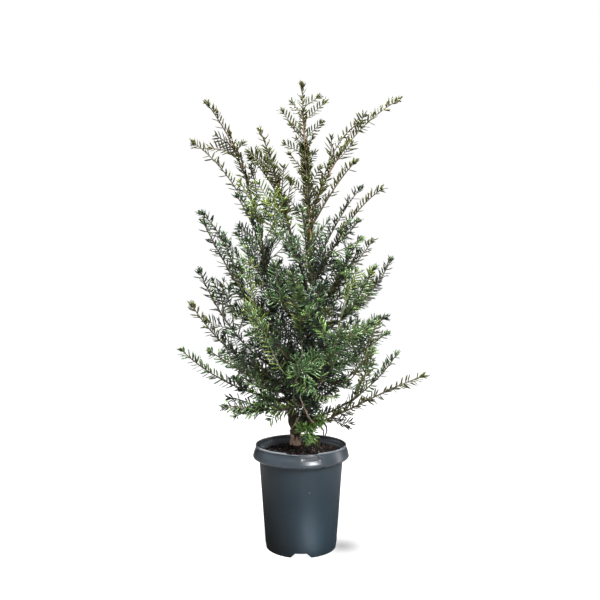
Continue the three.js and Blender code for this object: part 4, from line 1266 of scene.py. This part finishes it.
# %% Needles on older wood
# Needles stay on for three years or more, so the younger half of each bough still bears them. Each row is a
# limb, from and to which share of it, its radius there, and the distance from one needle to the next.
LEAFY_WOOD = [
    ("trunk", 0.40, 0.80, 4.4, 2.6), ("trunk", 0.80, 1.0, 3.2, 0.75), ("leader", 0.0, 0.42, 3.0, 0.75),
    ("second_stem", 0.34, 0.56, 4.0, 2.6)]
LEAFY_WOOD += [(name, 0.4 * bare, bare, 2.6, 2.6) for name, bare in THIN_BARE.items()]
for name, low, high, root, step in LEAFY_WOOD:
    line = lines[name]
    face = upper_side(spot_on(line, (low + high) / 2)[1], 0)
    whole = shoot(line, low, root, face, "inner", "wood", length_of(line) * (high - low))
    whole.update(end=high, step=step, tone="olive" if step < 1 else "")
    whole["points"] = on_line(line, np.linspace(low, high, 5))[0]
    masses["inner"].append(whole)
print("leafy stretches of older wood:", len(LEAFY_WOOD))

# %% [markdown]
# ## Twigs
#
# A shoot's wood shows between its needles as a thin tapering twig. A bevelled curve could make it, but the
# tube that the bark used does it too, with five sides, as many as so thin a thing needs. Older wood is
# brown, a few young stretches are orange and the newest wood is green, so the tubes take plain colours,
# stretch by stretch.

# %% Twigs as tubes
SHOOT_TIPS = {"leading": 1.3, "side": 0.8, "twiglet": 0.6, "wood": 1.0, "bare": 1.5}
TWIG_SIDES, TWIG_RING_STEP = 5, 9
# Where the first leading shoot of some masses is orange-brown: from one height to another.
ORANGE_STRETCHES = {"second_stem": (920, 1050), "right_top": (840, 985), "left_inner": (845, 930)}
OLD, ORANGE, GREEN, DRY = range(4)
TWIG_TONES = {
    "old_twig": (0.070, 0.052, 0.028),
    "orange_twig": (0.20, 0.105, 0.055),
    "green_twig": (0.170, 0.200, 0.080),
    "dry_twig": (0.26, 0.20, 0.15),
}


def twig(one):
    """A five-sided tube along a shoot, tapering evenly from its root to its tip, closed by points."""
    share = np.linspace(0, 1, max(3, int(one["length"] / TWIG_RING_STEP) + 1))
    size = one["root"] + (SHOOT_TIPS[one["kind"]] - one["root"]) * share
    centre, along = on_line(one["line"], one["start"] + (1 - one["start"]) * share)
    return tube(centre, along, one["face"], np.repeat(size[:, None], TWIG_SIDES, 1), (-1, 1.5))


def twig_tone(one, share, heights):
    """The tone of each stretch of a shoot's wood, by its age."""
    if one.get("tone") == "dry":
        return np.full(len(share), DRY)
    if one["mass"] == "leader" and one["kind"] == "leading":
        return np.where(np.abs(share - 0.55) < 0.17, ORANGE, OLD)
    if one is masses[one["mass"]][0] and one["mass"] in ORANGE_STRETCHES:
        low, high = ORANGE_STRETCHES[one["mass"]]
        return np.where((heights > low) & (heights < high), ORANGE, OLD)
    return np.full(len(share), GREEN if one.get("tone") in ("fresh", "bright", "vivid") else OLD)


twig_finishes = [Finish(name, Base_Color=tone, Roughness=0.6) for name, tone in TWIG_TONES.items()]
all_shoots = [one for shoots in masses.values() for one in shoots if one["kind"] != "wood"]
twig_parts = [twig(one) for one in all_shoots]
twig_tones = []
for one, (points, triangles) in zip(all_shoots, twig_parts):
    middles = points[triangles].mean(1)
    share = np.clip(np.linalg.norm(middles - points[0], axis=1) / max(one["length"], 1), 0, 1)
    twig_tones.append(twig_tone(one, share, middles[:, 2]))
piece("twigs", *joined(twig_parts), twig_finishes, "bark", tones=np.concatenate(twig_tones))

# %% [markdown]
# ## Needles
#
# A yew needle is flat, 20 to 30 mm long, slightly curved like a sickle, dark and glossy above with a raised
# rib, and paler beneath. On side shoots the needles lie in two combs, left and right; on upright leading
# shoots they stand all round, most of them above. Flat cards with a picture of a spray would be lighter, but
# look like paper from the side. So each needle is a closed blade of sixteen triangles, and all of them are
# one array: the blade's few points are set out once, and numpy lays them along every needle's own three
# directions.

# %% One needle's outline
STATIONS = np.array([0.0, 0.3, 0.72])  # shares of its length
HALF_WIDTHS = np.array([0.2, 0.5, 0.43])  # shares of its width
RIB = 0.28  # height of the rib, as a share of the width
needle_x = np.append(np.repeat(STATIONS, 3), 1.0)
needle_y = np.append((HALF_WIDTHS[:, None] * [1, 0, -1]).ravel(), 0.0)
needle_z = np.append((np.ones(3)[:, None] * [0, RIB, 0]).ravel(), 0.0)
needle_triangles = np.concatenate([grid(3, 3), fan([6, 7, 8], 9), [[2, 1, 0]]])
is_beneath = np.isin(needle_triangles, [0, 2, 3, 5, 6, 8, 9]).all(1)
is_beneath[-1] = False
print("needle:", len(needle_triangles), "triangles,", int(is_beneath.sum()), "beneath")

# %% Directions round a shoot
def frame_of(one, share):
    """Points at shares of a shoot, and its direction, upper side and right there.

    The right is the cross product of the other two."""
    centre, along = on_line(one["line"], one["start"] + (one.get("end", 1) - one["start"]) * share)
    top = units(one["face"] - along * (along @ one["face"])[:, None])
    return centre, along, top, np.cross(along, top)


def splayed(along, top, right, turn, forward):
    """Directions cos(forward) along a shoot plus sin(forward) outward, and the outward directions.

    Outward is cos(turn) to the right plus sin(turn) to the upper side, with the angles in degrees."""
    a, f = np.radians(turn)[:, None], np.radians(forward)[:, None]
    out = right * np.cos(a) + top * np.sin(a)
    return along * np.cos(f) + out * np.sin(f), out


halfway, *_ = frame_of(masses["leader"][0], np.array([0.5]))
print("half way up the leader:", halfway[0].round(), "mm")

# %% How needles stand on a shoot
NEEDLE_LENGTH = 27.0
LOW_DOWN, HIGH_UP = 640, 820  # needles crowd on low leading shoots, and are broader in the open top
NEEDLE_WIDTHS = {"side": 3.6, "twiglet": 3.4, "leading": 4.5, "wood": 4.2}
STEPS = {"side": 4.3, "twiglet": 4.3, "leading": 4.0}  # from one needle to the next
CROWDED, VIVID_STEP, VIVID_WIDTH, HIGH_WIDTH = 0.66, 0.85, 0.75, 1.14
FEW_BELOW = {"left_skirt": 0.8, "right_skirt": 0.55}  # share of needles on a low shoot's underside
LEADER_SIDE_REACH = 0.68  # the topmost side shoots have short needles
CLOSING = 20  # over this length before its tip a shoot's needles get shorter and lean forward
roots = np.random.default_rng(17)


def combed_angles(count, side):
    """Turn, lean and length of needles in two combs: 22 degrees above level, to one side and the other."""
    turn = 90 - side * (90 - roots.normal(22, 12, count))
    forward = roots.normal(60, 6, count)
    return turn, forward, NEEDLE_LENGTH * roots.uniform(0.86, 1.1, count)


def brushed_angles(one, upright, share, side):
    """Turn, lean and length of needles all round a shoot: most above, but half below where it is upright."""
    count = len(share)
    low_down = one["points"][0, 2] < LOW_DOWN
    steep = np.clip((upright - 0.85) * 8, 0, 1)
    level_below = 0.3 if one["kind"] == "wood" else FEW_BELOW.get(one["mass"], 0.42 if low_down else 0.2)
    below = roots.random(count) < np.where(steep > 0.5, 0.5, level_below)
    spread = roots.uniform(8, 48, count) * (1 + 1.0 * steep + 0.9 * (1 - share) ** 2)
    turn = 90 + side * np.where(below, roots.uniform(100, 170, count), spread)
    forward = roots.normal(58, 8, count) - 10 * steep
    return turn, forward, NEEDLE_LENGTH * roots.uniform(0.66, 0.88, count)


def needle_places(one):
    """Shares of a shoot where needles stand: one each step, a little shaken, in pairs on leading shoots."""
    kind, length = one["kind"], one["length"]
    low_down = one["points"][0, 2] < LOW_DOWN
    step = one.get("step", STEPS.get(kind)) * (CROWDED if low_down and kind == "leading" else 1)
    step *= VIVID_STEP if one.get("tone") == "vivid" else 1
    bare = min(12.0, length * 0.15) if kind in ("side", "twiglet") else 0.0
    count = max(3, int((length - bare) / step))
    number = np.arange(count)
    if kind == "leading":
        number = number - 0.62 * (number % 2)
    share = np.clip((bare + (number + roots.uniform(0.35, 0.65, count)) * step) / length, 0, 1)
    return share**1.15 if kind == "leading" else share  # closer together on the older wood


print("needle steps:", STEPS, "mm")


# %% All needles of a shoot
def needles_on(one):
    """Base, direction, upper side, length, width and bends of every needle of a shoot.

    Combed needles twist on their stalks to face up; the others face the shoot's tip."""
    kind = one["kind"]
    combed = kind in ("side", "twiglet")
    share = needle_places(one)
    count = len(share)
    centre, along, top, right = frame_of(one, share)
    side = np.where(np.arange(count) % 2, 1.0, -1.0)
    angles = combed_angles(count, side) if combed else brushed_angles(one, along[:, 2], share, side)
    turn, forward, reach = angles
    if one["mass"] == "leader" and kind == "side":
        reach = reach * LEADER_SIDE_REACH
    near_tip = np.clip((1 - share) * one["length"] / CLOSING, 0, 1) if kind != "wood" else np.ones(count)
    near_root = np.clip(share * one["length"] / CLOSING, 0, 1)
    forward = forward * (0.6 + 0.4 * near_tip)
    reach = reach * (0.66 + 0.34 * near_tip) * (0.8 + 0.2 * near_root)
    way, out = splayed(along, top, right, turn, forward)
    twist = roots.normal(0, 0.7, count)[:, None]
    face = top + 0.25 * along if combed else along * 0.6 + top * 0.4 + right * twist
    face = units(face + roots.normal(0, 0.22, (count, 3)))
    face = units(face - way * (way * face).sum(1, keepdims=True))
    size = one["root"] + (0 if kind == "wood" else SHOOT_TIPS[kind] - one["root"]) * share
    curl = np.where(np.cross(face, way) @ along[0] > 0, 1, -1) * roots.uniform(-0.02, 0.16, count)
    lift = roots.normal(0.03, 0.05, count) + (0 if combed else 0.05)
    broad = HIGH_WIDTH if one["points"][0, 2] > HIGH_UP else 1
    width = np.full(count, NEEDLE_WIDTHS[kind] * (VIVID_WIDTH if one.get("tone") == "vivid" else broad))
    base = centre + out * size[:, None] * 0.7
    return dict(base=base, way=way, face=face, reach=reach, width=width, curl=curl, lift=lift)


# %% Tufts at the tips
TUFTS = {"leading": 13, "side": 7, "twiglet": 4, "wood": 0}
TUFT_DEPTH = 9


def tuft(one):
    """Short needles crowded round a shoot's tip, closing towards its bud, each GOLDEN_TURN from the last."""
    count = TUFTS[one["kind"]]
    centre, along, top, right = frame_of(one, 1 - roots.uniform(0, TUFT_DEPTH, count) / one["length"])
    turn = np.arange(count) * GOLDEN_TURN + roots.uniform(0, 360)
    way, _ = splayed(along, top, right, turn, roots.uniform(18, 58, count))
    face = units(along - way * (way * along).sum(1, keepdims=True))
    reach = NEEDLE_LENGTH * roots.uniform(0.4, 0.72, count)
    width, lift = np.full(count, NEEDLE_WIDTHS[one["kind"]]), np.full(count, 0.05)
    return dict(base=centre, way=way, face=face, reach=reach, width=width, curl=np.zeros(count), lift=lift)


print("tufts:", TUFTS)

# %% [markdown]
# Needles darken and dull with age, so a crown is mottled spray by spray, and their undersides are paler.
# Some tones stand for light too: deep green in the crown's hollows is painted shade, and inside the crown
# partly so, and the bright and vivid sprays are partly painted light. A pattern in one material couldn't
# follow the sprays. So each tone is a plain material: a spray gets one tone, most of its needles keep it,
# and the old bronze and olive ones shine less than the green ones.

# %% Needle tones
NEEDLE_TONES = {
    "deep_green": (0.007, 0.016, 0.009),
    "mid_green": (0.052, 0.108, 0.036),
    "olive_green": (0.046, 0.055, 0.012),
    "fresh_green": (0.115, 0.160, 0.026),
    "bronze_green": (0.037, 0.038, 0.011),
    # Partly painted light: sprays that stand in for strongly lit needles, and partly young growth.
    "bright_green": (0.210, 0.370, 0.105),
    "deep_beneath": (0.035, 0.055, 0.030),
    "pale_beneath": (0.150, 0.210, 0.090),
    "yellow_beneath": (0.230, 0.260, 0.070),
    "olive_beneath": (0.080, 0.084, 0.028),
    "bronze_beneath": (0.059, 0.060, 0.020),
    # Partly painted light: the sprig at the trunk's foot, lightened where it stands in shade, and partly
    # young growth.
    "vivid_green": (0.150, 0.290, 0.060),
}
DULL, GLOSSY = 0.32, 0.6
needle_finishes = [
    Finish(name, Base_Color=tone, Roughness=0.28,
           Specular_IOR_Level=DULL if name.startswith(("olive", "bronze")) else GLOSSY)
    for name, tone in NEEDLE_TONES.items()]
DEEP, MID, OLIVE, FRESH, BRONZE, BRIGHT = range(6)
DEEP_BENEATH, PALE_BENEATH, YELLOW_BENEATH, OLIVE_BENEATH, BRONZE_BENEATH, VIVID = range(6, 12)
TONE_CALLED = {"fresh": FRESH, "bright": BRIGHT, "vivid": VIVID, "olive": OLIVE, "deep": DEEP, "mid": MID}
BENEATH = np.arange(len(NEEDLE_TONES))
BENEATH[[DEEP, MID, OLIVE, FRESH]] = DEEP_BENEATH, PALE_BENEATH, OLIVE_BENEATH, YELLOW_BENEATH
BENEATH[[BRONZE, BRIGHT, VIVID]] = BRONZE_BENEATH, PALE_BENEATH, PALE_BENEATH
KEPT = {FRESH: 0.55, DEEP: 0.82, BRONZE: 0.9, OLIVE: 0.9}  # share of needles that keep their spray's tone
KEPT_ELSE = 0.7
print("needle tones:", len(needle_finishes))

# %% Tones dealt by spray
# Places seen from the front: to the right, height and radius. First this year's brighter growth, in front of
# the trunk, and then the hollows that look into the crown, where the deep tone is painted shade.
FRESH_PLACES = [
    (-100, 860, 50), (-128, 645, 34), (-60, 480, 24), (-105, 560, 28), (148, 675, 36), (-30, 340, 22)]
PAINTED_SHADE_HOLLOWS = [(-56, 568, 40), (-35, 525, 32), (35, 524, 28), (33, 648, 22), (78, 590, 22), (0, 330, 26)]
FRESH_BEFORE, LEFT_OF, INSIDE = 40, -40, 0.62  # two places in millimetres, and a share of the core's reach


def tone_of(one):
    """Deep green inside the crown, partly painted shade, and painted shade in its hollows; mid green
    outside, olive near the top and fresh in chosen places.
    """
    if one.get("tone"):
        return TONE_CALLED[one["tone"]]
    middle = one["points"][len(one["points"]) // 2]
    x, y, z = middle
    depth = np.hypot(x - 10, y) / np.interp(z, *CORE)
    if y < FRESH_BEFORE and hides(middle[None], FRESH_PLACES):
        return FRESH if roots.random() < 0.6 else OLIVE if z > 760 else MID
    # Painted shade: needles in the hollows take the deep tone.
    if hides(middle[None], PAINTED_SHADE_HOLLOWS):
        return DEEP
    if z > HIGH_UP:
        return roots.choice([OLIVE, BRONZE], p=[0.5, 0.5])
    if one["kind"] == "leading":
        shares = [0.20, 0.22, 0.58] if x < LEFT_OF else [0.24, 0.33, 0.43]
        return roots.choice([OLIVE, MID, DEEP], p=shares)
    # Painted shade as well as older needles: deep green inside the crown.
    if depth < INSIDE:
        return roots.choice([DEEP, MID], p=[0.9, 0.1])
    # Bright green here is partly painted light, for sprays that look strongly lit.
    shares = [0.54, 0.34, 0.07, 0.05] if x < LEFT_OF else [0.26, 0.47, 0.07, 0.20]
    return roots.choice([DEEP, MID, OLIVE, BRIGHT], p=shares)


print("fresh places:", len(FRESH_PLACES), "and dark ones:", len(PAINTED_SHADE_HOLLOWS))


# %% All the needles
REGIONS = {
    "left": ["second_stem", "left_skirt", "left_low", "left_low_front", "left_wide", "left_middle",
             "left_shoulder", "left_upper"],
    "right": ["right_skirt", "right_low", "right_wide_back", "right_wide", "right_middle", "right_shoulder",
              "right_upper"],
    "front": ["front_foot", "front_low", "front_left", "front_right", "front_middle", "front_upper"],
    "back": ["back_low_left", "back_low_right", "back_middle", "back_left", "back_right", "back_top"],
    "top": ["left_inner", "right_upper_back", "right_upper_front", "right_top", "leader"],
    "inside": ["inner"],
}


def needle_mesh(shoots):
    """The points and triangles of all needles on some shoots, and each triangle's tone.

    A point is base + length * (x along + x^2 (curl sideways + lift up)) + width * (y sideways + z up), with
    x, y and z from the needle's outline."""
    sets, tones = [], []
    for one in shoots:
        tone = tone_of(one)
        for group in (needles_on(one), tuft(one)):
            count = len(group["reach"])
            faithful = roots.random(count) < KEPT.get(tone, KEPT_ELSE)
            other = [BRONZE, MID, OLIVE] if tone in (BRONZE, OLIVE) else [DEEP, MID, MID]
            tones.append(np.where(faithful, tone, roots.choice(other, count)))
            sets.append(group)
    gathered = {key: np.concatenate([group[key] for group in sets]) for key in sets[0]}
    base, way, face = (gathered[key][:, None] for key in ("base", "way", "face"))
    long, wide, curl, lift = (gathered[key][:, None, None] for key in ("reach", "width", "curl", "lift"))
    tones = np.concatenate(tones)
    side = np.cross(face, way)
    x, y, z = needle_x[:, None], needle_y[:, None], needle_z[:, None]
    points = base + long * x * way + long * x**2 * (curl * side + lift * face) + wide * (y * side + z * face)
    triangles = needle_triangles + len(needle_x) * np.arange(len(base))[:, None, None]
    face_tones = np.where(is_beneath, BENEATH[tones][:, None], tones[:, None])
    return points.reshape(-1, 3), triangles.reshape(-1, 3), face_tones.ravel()


needle_total = 0
for region, names in REGIONS.items():
    shoots = [one for name in names for one in masses[name] if one["kind"] != "bare"]
    points, triangles, tones = needle_mesh(shoots)
    needle_total += len(points) // len(needle_x)
    nodes = [f"foliage_{name}" for name in names if name != "inner"]
    piece(f"needles_{region}", points, triangles, needle_finishes, "needles", nodes, tones, smooth=False)
print("needles:", needle_total)
